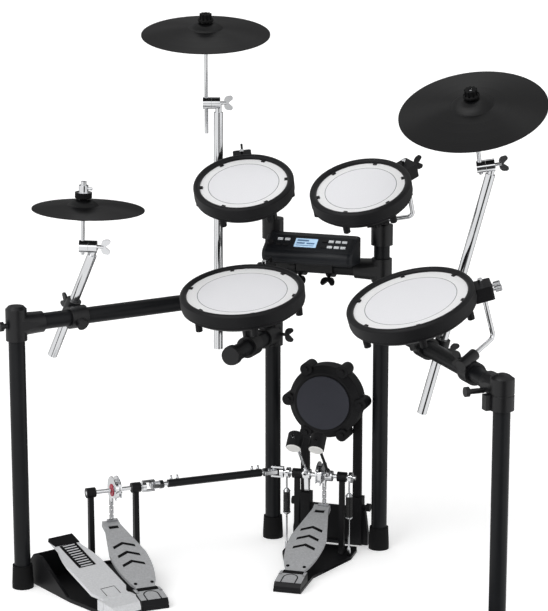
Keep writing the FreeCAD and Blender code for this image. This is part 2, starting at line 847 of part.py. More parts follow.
class Cymbal:
    """One cymbal on its rod and boom pipe."""

    def __init__(self, radius, bell_radius, bell_rise, bow_rise, centre, facing, hub_shift, boom_low,
                 rod_drop, tail, clutch):
        self.radius = radius
        self.bell_radius = bell_radius
        self.bow_rise = bow_rise
        self.crown = bow_rise + bell_rise
        self.axis = unit(facing)
        self.boom_low = boom_low
        self.tail = tail
        self.clutch = clutch
        self.hub = hub_shift + V(0, 0, self.crown - cymbal_hub_half)
        self.hub_shift = hub_shift
        self.place = frame(centre, self.axis, V(1, 0, 0))
        self.pivot = self.place.multVec(self.hub)
        self.rod_low = self.pivot - self.axis * rod_drop
        self.tilt_axis = in_plane(turn_vector(tilter_turn), self.axis)
        self.barrel_middle = self.rod_low + self.tilt_axis * rod_inset
        self.neck_end = self.barrel_middle + self.tilt_axis * (barrel_half * neck_share)
        self.boom_direction = unit(self.neck_end - boom_low)
        self.boom_top = self.neck_end - self.boom_direction * (neck_length + barrel_diameter / 2)

    def disc(self):
        """Bowed cymbal with a bell, an under-pan and a ball seat in its hub; the hi-hat's has a deep boss."""
        outer = self.radius
        bell = self.bell_radius
        low = self.bow_rise - cymbal_thickness
        pan = outer * (hihat_pan_share if self.clutch else cymbal_pan_share)
        lift = self.bow_rise * 0.62
        slope = [(bell + (outer - bell) * share, self.bow_rise * (1 - share ** bow_power))
                 for share in bow_shares]
        bow = turned([(0, self.bow_rise), (bell, self.bow_rise)] + slope +
                     [(outer, -cymbal_edge), (pan, lift * 0.4 - cymbal_thickness),
                      (pan - cymbal_pan_taper, -cymbal_pan_depth), (0, -cymbal_pan_depth)])
        dome = turned([(0, self.crown), (cymbal_hub_radius, self.crown),
                       (bell * 0.75, self.bow_rise + (self.crown - self.bow_rise) * 0.6, bell, self.bow_rise),
                       (bell, low), (0, low)])
        under = self.crown - 2 * cymbal_hub_half
        raised = [dome]
        if self.clutch:
            foot = -cymbal_boss_drop
            raised.append(turned([(0, low), (cymbal_boss_radius, low), (cymbal_boss_radius * 0.85, foot),
                                  (0, foot)]))
            hollow = turned([(0, under), (seat_radius * 0.92, under), (cymbal_boss_bore, foot), (0, foot)])
        else:
            hollow = turned([(0, under), (cymbal_hub_radius, under), (bell - cymbal_thickness, low),
                             (bell - cymbal_thickness, -cymbal_pan_depth), (0, -cymbal_pan_depth)])
        for piece in raised + [hollow]:
            piece.translate(self.hub_shift)
        ball = Part.makeSphere(seat_radius + fit_gap, self.hub)
        return put(join(bow, *raised).cut([hollow, ball]), self.place)

    def rod_assembly(self):
        """Rod with the turning half of the tilter and the rounded seat under the cymbal."""
        thin = cymbal_rod_diameter / 2
        low = -(self.pivot - self.rod_low).Length - self.tail
        high = self.nut_top() - rod_end_recess
        seat_edge = math.sqrt(seat_radius ** 2 - seat_half ** 2)
        rod = turned([(0, low), (thin, low), (thin, -2 * seat_half), (seat_sleeve_radius, -2 * seat_half),
                      (seat_sleeve_radius, -seat_half), (seat_edge, -seat_half),
                      (seat_radius, 0, seat_edge, seat_half), (thin, seat_half), (thin, high), (0, high)])
        half_start = self.rod_low - self.tilt_axis * rod_overhang
        half_end = self.barrel_middle - self.tilt_axis * fit_gap
        barrel = bar(half_start, half_end, barrel_diameter)
        return join(put(rod, frame(self.pivot, self.axis, V(1, 0, 0))), barrel)

    def nut_top(self):
        return seat_half + nut_gap + (clutch_height if self.clutch else nut_height)

    def top_nut(self):
        """Fluted nut, or the hi-hat's clutch with its washer and side screw, bored for the rod."""
        base = seat_half + nut_gap
        if self.clutch:
            top = base + clutch_height
            shoulder = top - clutch_neck_height
            washer_top = base + clutch_washer_height
            body = turned([(0, base), (clutch_washer_radius, base), (clutch_washer_radius, washer_top),
                           (clutch_radius, washer_top), (clutch_radius, shoulder),
                           (clutch_neck_radius, shoulder), (clutch_neck_radius, top), (0, top)])
            middle = (washer_top + shoulder) / 2
            screw_end = V(clutch_radius + clutch_screw_length, 0, middle)
            screw = bar(V(0, 0, middle), screw_end, clutch_screw_diameter)
            solid = join(body, screw)
        else:
            skirt = turned([(0, base), (nut_skirt_radius, base), (nut_skirt_radius, base + nut_skirt_height),
                            (nut_radius, base + 2 * nut_skirt_height), (nut_radius, base + nut_height),
                            (0, base + nut_height)])
            flute = Part.makeCylinder(nut_flute_radius, nut_height, V(nut_radius, 0, base + nut_skirt_height))
            solid = skirt.cut(ring(flute, nut_flutes))
        bore = Part.makeCylinder(cymbal_rod_diameter / 2 + shaft_gap, 2 * clutch_height, V(0, 0, 0))
        return put(solid.cut(bore), frame(self.pivot, self.axis, self.tilt_axis))

    def boom(self):
        """Boom pipe with a closed foot, a neck and the fixed half of the tilter."""
        tube = pipe(self.boom_low, self.boom_top, boom_diameter, boom_wall)
        plug = self.boom_direction * boom_cap
        foot = bar(self.boom_low, self.boom_low + plug, boom_diameter - boom_wall)
        shoulder = bar(self.boom_top - plug, self.boom_top, boom_diameter - boom_wall)
        half_start = self.barrel_middle
        half_end = half_start + self.tilt_axis * barrel_half
        barrel = bar(half_start, half_end, barrel_diameter)
        neck = bar(self.boom_top - plug, self.neck_end, neck_diameter)
        turning_half = bar(self.rod_low - self.tilt_axis * barrel_half, half_start, 2 * barrel_diameter)
        neck = neck.cut(turning_half)
        wing = wing_bolt(half_end - self.tilt_axis * barrel_rib, self.tilt_axis)
        return join(tube, foot, shoulder, neck, barrel, wing)


hihat = Cymbal(hihat_radius, hihat_bell_radius, hihat_bell_rise, hihat_bow_rise,
               over(left_post, left_arm_height, hihat_spot), hihat_facing, plan(*hihat_hub_spot),
               over(left_post, left_arm_height, hihat_boom_spot), hihat_rod_drop, hihat_tail, True)
crash = Cymbal(crash_radius, crash_bell_radius, crash_bell_rise, crash_bow_rise,
               over(left_post, left_arm_height, crash_spot), crash_facing, plan(0, 0),
               over(left_post, left_arm_height, crash_boom_spot), crash_rod_drop, crash_tail, False)
ride = Cymbal(ride_radius, ride_bell_radius, ride_bell_rise, ride_bow_rise,
              over(right_post, right_arm_height, ride_spot), ride_facing, plan(0, 0),
              over(right_post, right_arm_height, ride_boom_spot), ride_rod_drop, ride_tail, False)


# Sound module


panel_top = V(module_middle, module_top_front, module_bottom + module_front_rise)
panel_low = V(module_middle, module_lip, module_bottom + module_lip_rise)
panel_up = unit(panel_top - panel_low)
panel_out = V(1, 0, 0).cross(panel_up)
panel_place = frame((panel_top + panel_low) * 0.5, panel_out, V(1, 0, 0))


def key_spots():
    return [(x, y) for x in key_columns_left + key_columns_right for y in key_rows]


def key_block(width, height, low, high, x, y):
    return block(V(x - width / 2, y - height / 2, low), V(x + width / 2, y + height / 2, high))


def module_case():
    """Wedge-faced housing with rounded ends and pockets for screen, keys and knob."""
    nose = (module_nose, module_nose_rise, module_nose + module_foot_depth, module_foot_rise)
    section = outline(
        [(module_back, 0), (module_back, module_back_rise), (module_top_front, module_front_rise),
         (module_lip, module_lip_rise), nose], side)
    section.translate(V(0, 0, module_bottom))
    level = V(0, module_back, module_bottom + module_back_rise / 2)
    half = module_width / 2 - module_end_depth
    body = Part.Face(section).extrude(V(2 * half, 0, 0))
    body.translate(V(module_middle - half, 0, 0))
    caps = []
    for sign in (-1, 1):
        slices = []
        for depth_share, size_share in module_end_shares:
            piece = section.copy()
            piece.scale(size_share, level)
            piece.translate(V(module_middle + sign * (half + module_end_depth * depth_share), 0, 0))
            slices.append(piece)
        caps.append(Part.makeLoft(slices, True, True))
    body = join(body, *caps)
    pockets = [key_block(screen_width + 2 * fit_gap, screen_height + 2 * fit_gap, -screen_thickness,
                         screen_thickness, screen_side, 0)]
    for x, y in key_spots():
        pockets.append(key_block(key_width + 2 * key_gap, key_height + 2 * key_gap, -key_depth, key_depth,
                                 x, y))
    pockets.append(Part.makeCylinder(volume_stem_diameter / 2 + shaft_gap, 2 * volume_stem_length,
                                     V(volume_side, volume_height, -volume_stem_length)))
    return body.cut([put(pocket, panel_place) for pocket in pockets])


def module_screen():
    pane = key_block(screen_width, screen_height, -screen_thickness + fit_gap, screen_proud, screen_side, 0)
    return put(pane, panel_place)


def module_keys():
    caps = []
    for x, y in key_spots():
        cap = key_block(key_width, key_height, -key_depth + key_proud, key_proud, x, y)
        caps.append(put(cap.makeChamfer(key_gap, cap.Faces[-1].Edges), panel_place))
    return caps


def volume_knob():
    """Round knob with a pointer notch, on a stem that turns in the case."""
    stem = Part.makeCylinder(volume_stem_diameter / 2, volume_stem_length + fit_gap,
                             V(0, 0, -volume_stem_length + fit_gap))
    radius = volume_diameter / 2
    cap = turned([(0, fit_gap), (radius, fit_gap), (radius * 0.86, volume_length), (0, volume_length)])
    notch = block(V(-fit_gap, radius * 0.3, volume_length - fit_gap),
                  V(fit_gap, radius, volume_length + fit_gap))
    body = join(stem, cap).cut(notch)
    body.translate(V(volume_side, volume_height, 0))
    return put(body, panel_place)


def module_bracket():
    """Plate behind the module with two bands on the crossbar and a bolt under each."""
    axis_point = V(0, 0, crossbar_height)
    bolt_way = unit(V(0, -1, -1))
    low = V(module_middle + bracket_rings[0], module_back + fit_gap,
            crossbar_height - bracket_plate_drop)
    high = V(module_middle + bracket_rings[1] + bracket_ring_width, module_back + bracket_plate_thickness,
             module_bottom + bracket_plate_rise)
    plate = block(low, high)
    pieces = [plate]
    bores = []
    for offset in bracket_rings:
        start = axis_point + V(module_middle + offset, 0, 0)
        end = start + V(bracket_ring_width, 0, 0)
        pieces.append(bar(start, end, rack_tube_diameter + 2 * bracket_ring_wall))
        bores.append(bar(start, end, rack_tube_diameter + 2 * fit_gap))
        middle = (start + end) * 0.5
        pieces.append(wing_bolt(middle + bolt_way * (tube_radius + bracket_ring_wall / 2), bolt_way))
    return join(*pieces).cut(bores)


# Kick pad


kick_pedal_axle_way = turn_vector(kick_pedal_turn)
beater_edge = kick_pedal_axle_way * (right_hub_place + beater_head_radius)
kick_face_front = plan(*kick_pedal_spot).y + beater_edge.y + beater_head_half + strike_gap
kick_place = frame(V(kick_centre_side, kick_face_front, kick_centre_height), V(0, -1, 0), V(1, 0, 0))


def kick_face():
    """Rubber striking face, crowned towards the beater."""
    radius = kick_face_radius
    out, rise = cap_middle(radius, kick_face_crown)
    disc = turned([(0, 0), (out, rise - kick_face_crown, radius, -kick_face_crown),
                   (radius, -kick_face_thickness), (0, -kick_face_thickness)])
    return put(disc, kick_place)


def kick_housing():
    """Round housing with a stepped rim and six bolted lugs."""
    radius = kick_housing_radius
    seat = -kick_face_thickness - fit_gap
    rim = kick_face_radius + fit_gap
    back = -kick_housing_depth
    pan = turned([(0, seat), (rim, seat), (rim, -kick_face_crown - kick_lip / 2),
                  (rim + kick_rim_width / 2, -kick_lip), (radius, -kick_lip - kick_rim_width),
                  (radius, back + kick_lip), (radius - kick_lip, back), (0, back)])
    lug = Part.makeCylinder(kick_lug_radius, kick_lug_depth, V(kick_lug_circle, 0, back + kick_lip))
    bolt = Part.makeCylinder(kick_bolt_radius, kick_bolt_height,
                             V(kick_lug_circle, 0, back + kick_lip + kick_lug_depth), up)
    return put(join(pan, *ring(join(lug, bolt), kick_lugs)), kick_place)


def kick_stand():
    """Two uprights in sockets, joined by a front plate and a floor plate with splayed feet."""
    back = kick_face_front + kick_housing_depth + fit_gap
    front = back + upright_depth
    floor_low = back - stand_plate_thickness
    socket_lip = (socket_depth - upright_depth) / 2
    parts = []
    for sign in (-1, 1):
        middle = kick_centre_side + sign * upright_spacing / 2
        parts.append(block(V(middle - upright_width / 2, back, socket_bottom),
                           V(middle + upright_width / 2, front, kick_centre_height)))
        parts.append(block(V(middle - socket_width / 2, back - socket_lip, 0),
                           V(middle + socket_width / 2, front + socket_lip, socket_top)))
        outer = middle + sign * socket_width / 2
        foot = outer + sign * stand_foot_reach
        gusset = extruded([(middle, 0), (foot, 0), (foot, stand_plate_height * 0.3),
                           (foot - sign * stand_floor_thickness, stand_plate_height * 0.95),
                           (middle, stand_plate_height)],
                          lambda x, z: V(x, back, z), V(0, upright_depth, 0))
        parts.append(gusset)
        knob_root = V(outer - sign * shell_wall, (back + front) / 2, stand_plate_height)
        knob_end = knob_root + V(sign * stand_knob_length, 0, 0)
        parts.append(bar(knob_root, knob_end, knob_stem_diameter))
        parts.append(bar(knob_end - V(sign * knob_length, 0, 0), knob_end, stand_knob_diameter))
    half = upright_spacing / 2
    parts.append(block(V(kick_centre_side - half, back, stand_floor_thickness / 2),
                       V(kick_centre_side + half, back + stand_plate_thickness, stand_plate_height)))
    parts.append(block(V(kick_centre_side - half, floor_low, 0),
                       V(kick_centre_side + half, floor_low + stand_floor_depth, stand_floor_thickness)))
    return join(*parts)


# Pedals


def pedal_frame(origin, turn):
    return frame(origin, up, turn_vector(turn))


kick_place_floor = pedal_frame(plan(*kick_pedal_spot), kick_pedal_turn)
slave_place_floor = pedal_frame(plan(*slave_pedal_spot), slave_pedal_turn)
toe_line = cam_radius
board_rise = footboard_toe_height - pedal_hinge_height
board_run = pedal_hinge_back + toe_line
board_length = math.hypot(board_rise, board_run)
board_place = frame(V(0, -pedal_hinge_back, pedal_hinge_height), V(0, -board_rise, board_run), V(1, 0, 0))
hinge_slack = (pedal_hinge_diameter + heel_thickness) / 2 + fit_gap


def pedal_base():
    """Tapered floor plate with a raised toe end, wide under the posts and narrow at the heel."""
    toe = pedal_base_toe_width / 2
    heel = pedal_base_heel_width / 2
    back = -pedal_heel_end
    shoulder = -pedal_post_depth * 1.5
    plate = extruded([(-toe, pedal_base_front), (-toe, shoulder), (-heel, back * 0.62), (-heel, back),
                      (heel, back), (heel, back * 0.62), (toe, shoulder), (toe, pedal_base_front)],
                     plan, V(0, 0, pedal_base_thickness))
    ridge_low = V(-toe, pedal_base_front - pedal_base_thickness, 0)
    ridge = block(ridge_low, V(toe, pedal_base_front, 2 * pedal_base_thickness))
    return join(plate, ridge)


def pedal_post(place):
    """Cast post that tapers up to a round bearing head, bored for the axle."""
    half = pedal_post_depth / 2
    low = pedal_base_thickness + fit_gap
    head = pedal_post_top_radius
    web = extruded([(-half * 1.6, low), (half * 1.6, low), (half * 1.1, low + head, half, low + 2 * head),
                    (half * 0.7, axle_height), (-half * 0.7, axle_height), (-half, low + 2 * head),
                    (-half * 1.1, low + head, -half * 1.6, low)], side, V(pedal_post_width, 0, 0))
    web.translate(V(place - pedal_post_width / 2, 0, 0))
    head_half = V(pedal_post_head_length / 2, 0, 0)
    centre = V(place, 0, axle_height)
    bearing = bar(centre - head_half, centre + head_half, 2 * head)
    bore = bar(centre - head_half, centre + head_half, axle_diameter + 2 * shaft_gap)
    return join(web, bearing).cut(bore)


def heel_plate():
    """Heel rest with a hinge barrel at its front edge."""
    half = heel_width / 2
    end = -pedal_heel_end
    front = -pedal_hinge_back - hinge_slack
    top = pedal_hinge_height + footboard_thickness / 2
    low = pedal_base_thickness + fit_gap
    body = extruded([(end, low), (front, low), (front, top), (end + heel_thickness, top - heel_thickness),
                     (end, low + heel_thickness)], side, V(heel_width, 0, 0))
    body.translate(V(-half, 0, 0))
    pin_end = V(half, -pedal_hinge_back, pedal_hinge_height)
    pin_length = V(heel_width, 0, 0)
    pin = bar(pin_end - pin_length, pin_end, pedal_hinge_diameter)
    cheeks = []
    for sign in (-1, 1):
        inner = sign * (half - heel_thickness)
        spots = sorted((inner, sign * half))
        cheeks.append(block(V(spots[0], front - heel_thickness, low),
                            V(spots[1], -pedal_hinge_back + hinge_slack, top)))
    return join(body, pin, *cheeks)


def footboard():
    """Long footboard: narrow toe, wide middle, waist at the hinge, toe slot, grip chevrons and side ribs."""
    toe = footboard_toe_width / 2
    wide = footboard_wide / 2
    waist = footboard_waist / 2 - heel_thickness
    middle = board_length * footboard_wide_share
    near = waist + heel_thickness
    start = hinge_slack + footboard_thickness
    right = [(waist, 0), (waist, start), (near, 2 * start), (wide, middle * 0.7, wide, middle),
             (toe, board_length - toe), (toe, board_length)]
    left = [(-toe, board_length), (-toe, board_length - toe), (-wide, middle),
            (-wide, middle * 0.7, -near, 2 * start), (-waist, start), (-waist, 0)]
    low = -footboard_thickness / 2
    plate = extruded(right + left, plan, V(0, 0, footboard_thickness))
    plate.translate(V(0, 0, low))
    barrel = bar(V(-waist, 0, 0), V(waist, 0, 0), pedal_hinge_diameter + heel_thickness)
    ribs = []
    for sign in (-1, 1):
        edge = sign * (toe - footboard_rib_width / 2)
        ribs.append(block(V(edge - footboard_rib_width / 2, 2 * start, low - footboard_rib_height),
                          V(edge + footboard_rib_width / 2, board_length, low)))
    body = join(plate, barrel, *ribs)
    slot_far = board_length - footboard_slot_from_toe
    slots = [block(V(-footboard_slot_width / 2, slot_far - footboard_slot_length, low - footboard_rib_height),
                   V(footboard_slot_width / 2, slot_far, -low))]
    half = footboard_chevron_half
    for share in footboard_chevron_shares:
        at = board_length * share
        tip = at + footboard_chevron_rise
        band = footboard_chevron_band
        chevron = extruded([(-half, at), (0, tip), (half, at), (half, at + band), (0, tip + band),
                            (-half, at + band)], plan, V(0, 0, footboard_chevron_depth))
        chevron.translate(V(0, 0, -low - footboard_chevron_depth))
        slots.append(chevron)
    pin_bore = bar(V(-waist, 0, 0), V(waist, 0, 0), pedal_hinge_diameter + 2 * shaft_gap)
    return put(body.cut(slots + [pin_bore]), board_place)


def beater_direction():
    return V(0, -math.sin(math.radians(beater_lean)), math.cos(math.radians(beater_lean)))


axle_middle = V(0, 0, axle_height)
beater_way = beater_direction()
beater_front = V(0, math.cos(math.radians(beater_lean)), math.sin(math.radians(beater_lean)))


def along_axle(x):
    return axle_middle + V(x, 0, 0)


def cam(place):
    """Grooved cam wheel between two cheeks, open at its lower back, with a lightening hole."""
    start = along_axle(place - cam_width / 2)
    end = along_axle(place + cam_width / 2)
    groove = bar(start, end, 2 * (cam_radius - chain_thickness / 2 - fit_gap))
    cheek_reach = V(cam_cheek, 0, 0)
    cheeks = [bar(start, start + cheek_reach, 2 * (cam_radius + cam_cheek_rise)),
              bar(end - cheek_reach, end, 2 * (cam_radius + cam_cheek_rise))]
    rim = cam_radius + 2 * cam_cheek_rise
    window = block(V(start.x, -rim, axle_height - rim), V(end.x, cam_radius / 3, axle_height - hub_radius))
    hole = bar(start, end, cam_radius * 0.5)
    hole.translate(V(0, -cam_radius * 0.5, cam_radius * 0.25))
    return join(groove, *cheeks).cut([window, hole])


def beater_hub(place, tail):
    """Clamp block on the axle that grips a beater's rod; the left one has a tail below the axle."""
    middle = along_axle(place)
    start = along_axle(place - hub_width / 2)
    width = V(hub_width, 0, 0)
    barrel = bar(start, start + width, 2 * hub_radius)
    tower = bar(middle, middle + beater_way * hub_top, hub_neck)
    grip_root = middle + beater_way * (hub_top * 0.75)
    grip = bar(grip_root, grip_root - beater_front * hub_radius, wing_stem_diameter)
    pieces = [barrel, tower, grip]
    if tail:
        low = axle_height - hub_tail_drop
        lobe = extruded([(hub_radius * 0.9, axle_height), (hub_tail_radius, low),
                         (0, low - hub_tail_radius, -hub_tail_radius, low), (-hub_radius * 0.9, axle_height)],
                        side, width * 0.6)
        lobe.translate(V(start.x + hub_width * 0.2, 0, 0))
        pieces.append(lobe)
    return join(*pieces)


def rocker(place):
    """Arm on the axle that stretches the return spring."""
    start = along_axle(place - rocker_width / 2)
    width = V(rocker_width, 0, 0)
    drop = V(0, -rocker_reach, 0)
    boss = bar(start, start + width, 2 * rocker_radius)
    arm = block(start + drop - V(0, 0, rocker_width / 2), start + width + V(0, 0, rocker_width / 2))
    return join(boss, arm)


def rod_socket(place):
    """Bore of a hub for the beater's rod."""
    return bar(along_axle(place) + beater_way * axle_diameter, along_axle(place) + beater_way * beater_length,
               beater_rod_diameter + 2 * shaft_gap)


def kick_axle():
    shaft = bar(along_axle(axle_split), along_axle(axle_outer), axle_diameter)
    return join(shaft, cam(cam_place), beater_hub(right_hub_place, False), rocker(rocker_place)).cut(
        rod_socket(right_hub_place))


def left_beater_axle():
    shaft_end = along_axle(-kick_joint_reach + yoke_hub_near)
    shaft = bar(shaft_end, along_axle(axle_split - fit_gap), axle_diameter)
    prongs = yoke(V(-1, 0, 0), up)
    for piece in prongs:
        piece.translate(along_axle(-kick_joint_reach))
    whole = join(shaft, beater_hub(left_hub_place, True), rocker(-rocker_place), *prongs)
    return whole.cut(rod_socket(left_hub_place))


def slave_axle():
    end = along_axle(-pedal_post_spacing / 2 - pedal_post_head_length / 2)
    shaft = bar(end, along_axle(slave_joint_reach - yoke_hub_near), axle_diameter)
    prongs = yoke(V(1, 0, 0), up)
    for piece in prongs:
        piece.translate(along_axle(slave_joint_reach))
    return join(shaft, cam(cam_place), *prongs)


def beater(place):
    """Beater: steel rod and a two-faced round head."""
    foot = along_axle(place) + beater_way * (axle_diameter + fit_gap)
    top = along_axle(place) + beater_way * (beater_length + beater_head_radius + beater_tip)
    middle = along_axle(place) + beater_way * beater_length
    radius = beater_head_radius
    half = beater_head_half
    soft = beater_head_round
    head = turned([(0, -half), (radius - soft, -half), (radius, -half + soft), (radius, half - soft),
                   (radius - soft, half), (0, half)])
    head = put(head, frame(middle, beater_front, V(1, 0, 0)))
    bore = bar(foot, top, beater_rod_diameter + 2 * shaft_gap)
    return [bar(foot, top, beater_rod_diameter), head.cut(bore)]


def chain():
    """Straight run of link chain from the footboard's toe to the cam, with the tongue that holds it."""
    low = board_place.multVec(V(0, board_length - tongue_length / 2, footboard_thickness / 2)).z
    high = axle_height
    count = round((high - low) / chain_link_length)
    step = (high - low) / count
    half = chain_thickness / 2
    tongue_low = footboard_thickness / 2 + tongue_gap
    tongue = block(V(-tongue_width / 2, board_length - tongue_length, tongue_low),
                   V(tongue_width / 2, board_length, tongue_low + tongue_height))
    parts = [put(tongue, board_place)]
    for index in range(count):
        start = low + index * step
        wide = chain_width / 2 - (chain_plate if index % 2 else 0)
        first = start if index else start + 2 * half
        for sign in (-1, 1):
            spots = sorted((sign * wide, sign * (wide - chain_plate)))
            parts.append(block(V(spots[0], toe_line - half, first - half),
                               V(spots[1], toe_line + half, start + step + half)))
        pin = V(-chain_width / 2, toe_line, start + step)
        parts.append(bar(pin, pin + V(chain_width, 0, 0), chain_pin_diameter))
    solid = join(*parts)
    solid.translate(V(cam_place, 0, 0))
    return solid


# Drive shaft


def yoke(direction, prong_side):
    """Fork of a universal joint centred on the origin; direction points from its hub to the centre."""
    direction = unit(direction)
    prong_side = in_plane(prong_side, direction)
    hub = bar(direction * -yoke_hub_far, direction * -yoke_hub_near, 2 * yoke_hub_radius)
    place = frame(V(0, 0, 0), direction, prong_side)
    pieces = [hub]
    for sign in (-1, 1):
        near = sign * yoke_prong_near
        far = sign * (yoke_prong_near + yoke_prong_thickness)
        spots = sorted((near, far))
        prong = block(V(spots[0], -yoke_prong_width / 2, -yoke_hub_far),
                      V(spots[1], yoke_prong_width / 2, yoke_prong_past))
        pieces.append(put(prong, place))
    return pieces


slave_joint_centre = slave_place_floor.multVec(along_axle(slave_joint_reach))
kick_joint_centre = kick_place_floor.multVec(along_axle(-kick_joint_reach))
drive_direction = unit(kick_joint_centre - slave_joint_centre)


def drive_shaft():
    """Shaft between the pedals: two forks with their cross blocks, an inner rod and an outer tube."""
    length = (kick_joint_centre - slave_joint_centre).Length
    flat = up.cross(drive_direction)
    pieces = []
    for centre, way in ((slave_joint_centre, -1), (kick_joint_centre, 1)):
        for piece in yoke(drive_direction * way, flat):
            piece.translate(centre)
            pieces.append(piece)
        reach = V(yoke_block, yoke_block, yoke_block) * 0.5
        cross = block(-reach, reach)
        cross = put(cross, frame(centre, drive_direction, flat))
        pin_half = flat * (yoke_prong_near + yoke_prong_thickness / 2)
        lift_half = up * (yoke_prong_near - yoke_pin_gap)
        pieces += [cross, bar(centre - pin_half, centre + pin_half, yoke_block * 0.5),
                   bar(centre - lift_half, centre + lift_half, yoke_block * 0.5)]
    start = slave_joint_centre + drive_direction * yoke_hub_near
    end = kick_joint_centre - drive_direction * yoke_hub_near
    pieces.append(bar(start, end, shaft_rod_diameter))
    tube_start = start + drive_direction * (length * shaft_tube_from_share)
    tube_end = start + drive_direction * (length * shaft_tube_to_share)
    pieces.append(bar(tube_start, tube_end, shaft_tube_diameter))
    return join(*pieces)


# Return springs


def spring_tangent(angle):
    climb = spring_pitch / (2 * math.pi)
    return unit(V(-spring_coil_radius * math.sin(angle), spring_coil_radius * math.cos(angle), climb))


def spring_point(angle):
    return V(spring_coil_radius * math.cos(angle), spring_coil_radius * math.sin(angle),
             spring_pitch * angle / (2 * math.pi))


def arc_between(start, tangent, end):
    chord = end - start
    half = chord.Length / 2
    across = tangent - chord * (tangent.dot(chord) / chord.dot(chord))
    turn = math.atan2(across.Length, tangent.dot(chord) / chord.Length)
    middle = (start + end) * 0.5 + unit(across) * (half * math.tan(turn / 2))
    return Part.Arc(start, middle, end).toShape()


def biarc(start, start_way, end, end_way):
    """Two arcs that leave and arrive along the given directions."""
    between = start - end
    both = start_way + end_way
    a = 2 * (start_way.dot(end_way) - 1)
    b = 2 * between.dot(both)
    c = between.dot(between)
    reach = (-b - math.sqrt(b * b - 4 * a * c)) / (2 * a)
    meet = (start + start_way * reach + end - end_way * reach) * 0.5
    joint_way = unit(end - end_way * reach - start - start_way * reach)
    return [arc_between(start, start_way, meet), arc_between(meet, joint_way, end)]


def spring_coil():
    """Close-wound coil as one unbroken wire."""
    quarter = math.pi / 2
    edges = []
    for index in range(4 * spring_turns):
        first = index * quarter
        last = first + quarter
        edges += biarc(spring_point(first), spring_tangent(first), spring_point(last), spring_tangent(last))
    section = Part.Wire([Part.makeCircle(spring_wire / 2, spring_point(0), spring_tangent(0))])
    return Part.Wire(edges).makePipeShell([section], True, False)


def spring_self_gap():
    samples = [spring_point(2 * math.pi * turn / 24) for turn in range(48)]
    nearest = min((a - b).Length for a in samples[:12] for b in samples[18:])
    return nearest - spring_wire


spring_margin = spring_wire / 2 + fit_gap


def spring_spot(place):
    return V(place, -rocker_reach + rocker_width / 2, 0)


def return_spring(place):
    """Coil with the lower cup, its rod and the foot that holds it to the base plate."""
    coil = spring_coil()
    coil.translate(spring_spot(place) + V(0, 0, spring_bottom))
    low_face = spring_bottom - spring_margin
    low_cup = turned([(0, low_face - spring_cup_height), (spring_hook_diameter, low_face - spring_cup_height),
                      (spring_cup_radius, low_face), (0, low_face)])
    low_rod = bar(V(0, 0, pedal_base_thickness + fit_gap), V(0, 0, low_face), spring_hook_diameter)
    foot = bar(V(0, 0, pedal_base_thickness + fit_gap), V(0, 0, spring_foot_height), 2 * spring_hook_diameter)
    lower = join(low_cup, low_rod, foot)
    lower.translate(spring_spot(place))
    return [coil, lower]


def spring_hook(place):
    """Upper cup and the rod that hangs it from the rocker."""
    face = spring_bottom + spring_pitch * spring_turns + spring_margin
    cup = turned([(0, face), (spring_cup_radius, face), (spring_hook_diameter, face + spring_cup_height),
                  (0, face + spring_cup_height)])
    rod_top = axle_height - rocker_width / 2 - fit_gap
    hook = join(cup, bar(V(0, 0, face), V(0, 0, rod_top), spring_hook_diameter))
    hook.translate(spring_spot(place))
    return hook


# Hi-hat pedal


hihat_place_floor = pedal_frame(plan(*hihat_pedal_spot), hihat_pedal_turn)
hihat_board_rise = hihat_toe_height - hihat_hinge_height
hihat_board_run = math.sqrt(hihat_board_length ** 2 - hihat_board_rise ** 2)
hihat_board_place = frame(V(0, 0, hihat_hinge_height), V(0, -hihat_board_rise, hihat_board_run), V(1, 0, 0))


def hihat_pedal_base():
    """Floor plate with two rising side walls and the housing behind the toe."""
    half = hihat_base_heel_width / 2
    end = hihat_board_run + hihat_toe_block
    wall_start = hihat_board_run * hihat_wall_from_share
    inner = hihat_board_width / 2 + 2 * fit_gap
    outer = inner + hihat_wall_thickness
    plate = extruded([(-half, -hihat_heel_length), (half, -hihat_heel_length), (outer, wall_start),
                      (outer, end), (-outer, end), (-outer, wall_start)], plan, V(0, 0, hihat_base_thickness))
    crest = hihat_board_run + hihat_toe_block * 0.5
    wall_points = [(wall_start, 0), (end, 0), (end, hihat_toe_block_height * 0.7), (crest, hihat_wall_height),
                   (hihat_board_run, hihat_wall_height)]
    walls = []
    for low in (inner, -outer):
        wall = extruded(wall_points, side, V(hihat_wall_thickness, 0, 0))
        wall.translate(V(low, 0, 0))
        walls.append(wall)
    back = extruded([(crest, 0), (end, 0), (end, hihat_toe_block_height * 0.7), (crest, hihat_wall_height)],
                    side, V(2 * inner, 0, 0))
    back.translate(V(-inner, 0, 0))
    return join(plate, back, *walls)


def hihat_heel():
    """Heel rest of the hi-hat pedal with its hinge pin."""
    half = hihat_heel_width / 2
    front = -hinge_slack
    low = hihat_base_thickness + fit_gap
    top = hihat_hinge_height + hihat_board_thickness / 2
    body = extruded([(-hihat_heel_length, low), (front, low), (front, top),
                     (-hihat_heel_length + heel_thickness, top - heel_thickness),
                     (-hihat_heel_length, low + heel_thickness)], side, V(hihat_heel_width, 0, 0))
    body.translate(V(-half, 0, 0))
    end = hihat_heel_end_width / 2
    taper = extruded([(-half, front), (-end, -hihat_heel_length), (end, -hihat_heel_length), (half, front)],
                     plan, V(0, 0, 2 * top))
    body = body.common(taper)
    pin = bar(V(-half, 0, hihat_hinge_height), V(half, 0, hihat_hinge_height), pedal_hinge_diameter)
    cheeks = []
    for sign in (-1, 1):
        spots = sorted((sign * half, sign * (half - heel_thickness)))
        cheeks.append(block(V(spots[0], front - heel_thickness, low), V(spots[1], hinge_slack, top)))
    return join(body, pin, *cheeks)


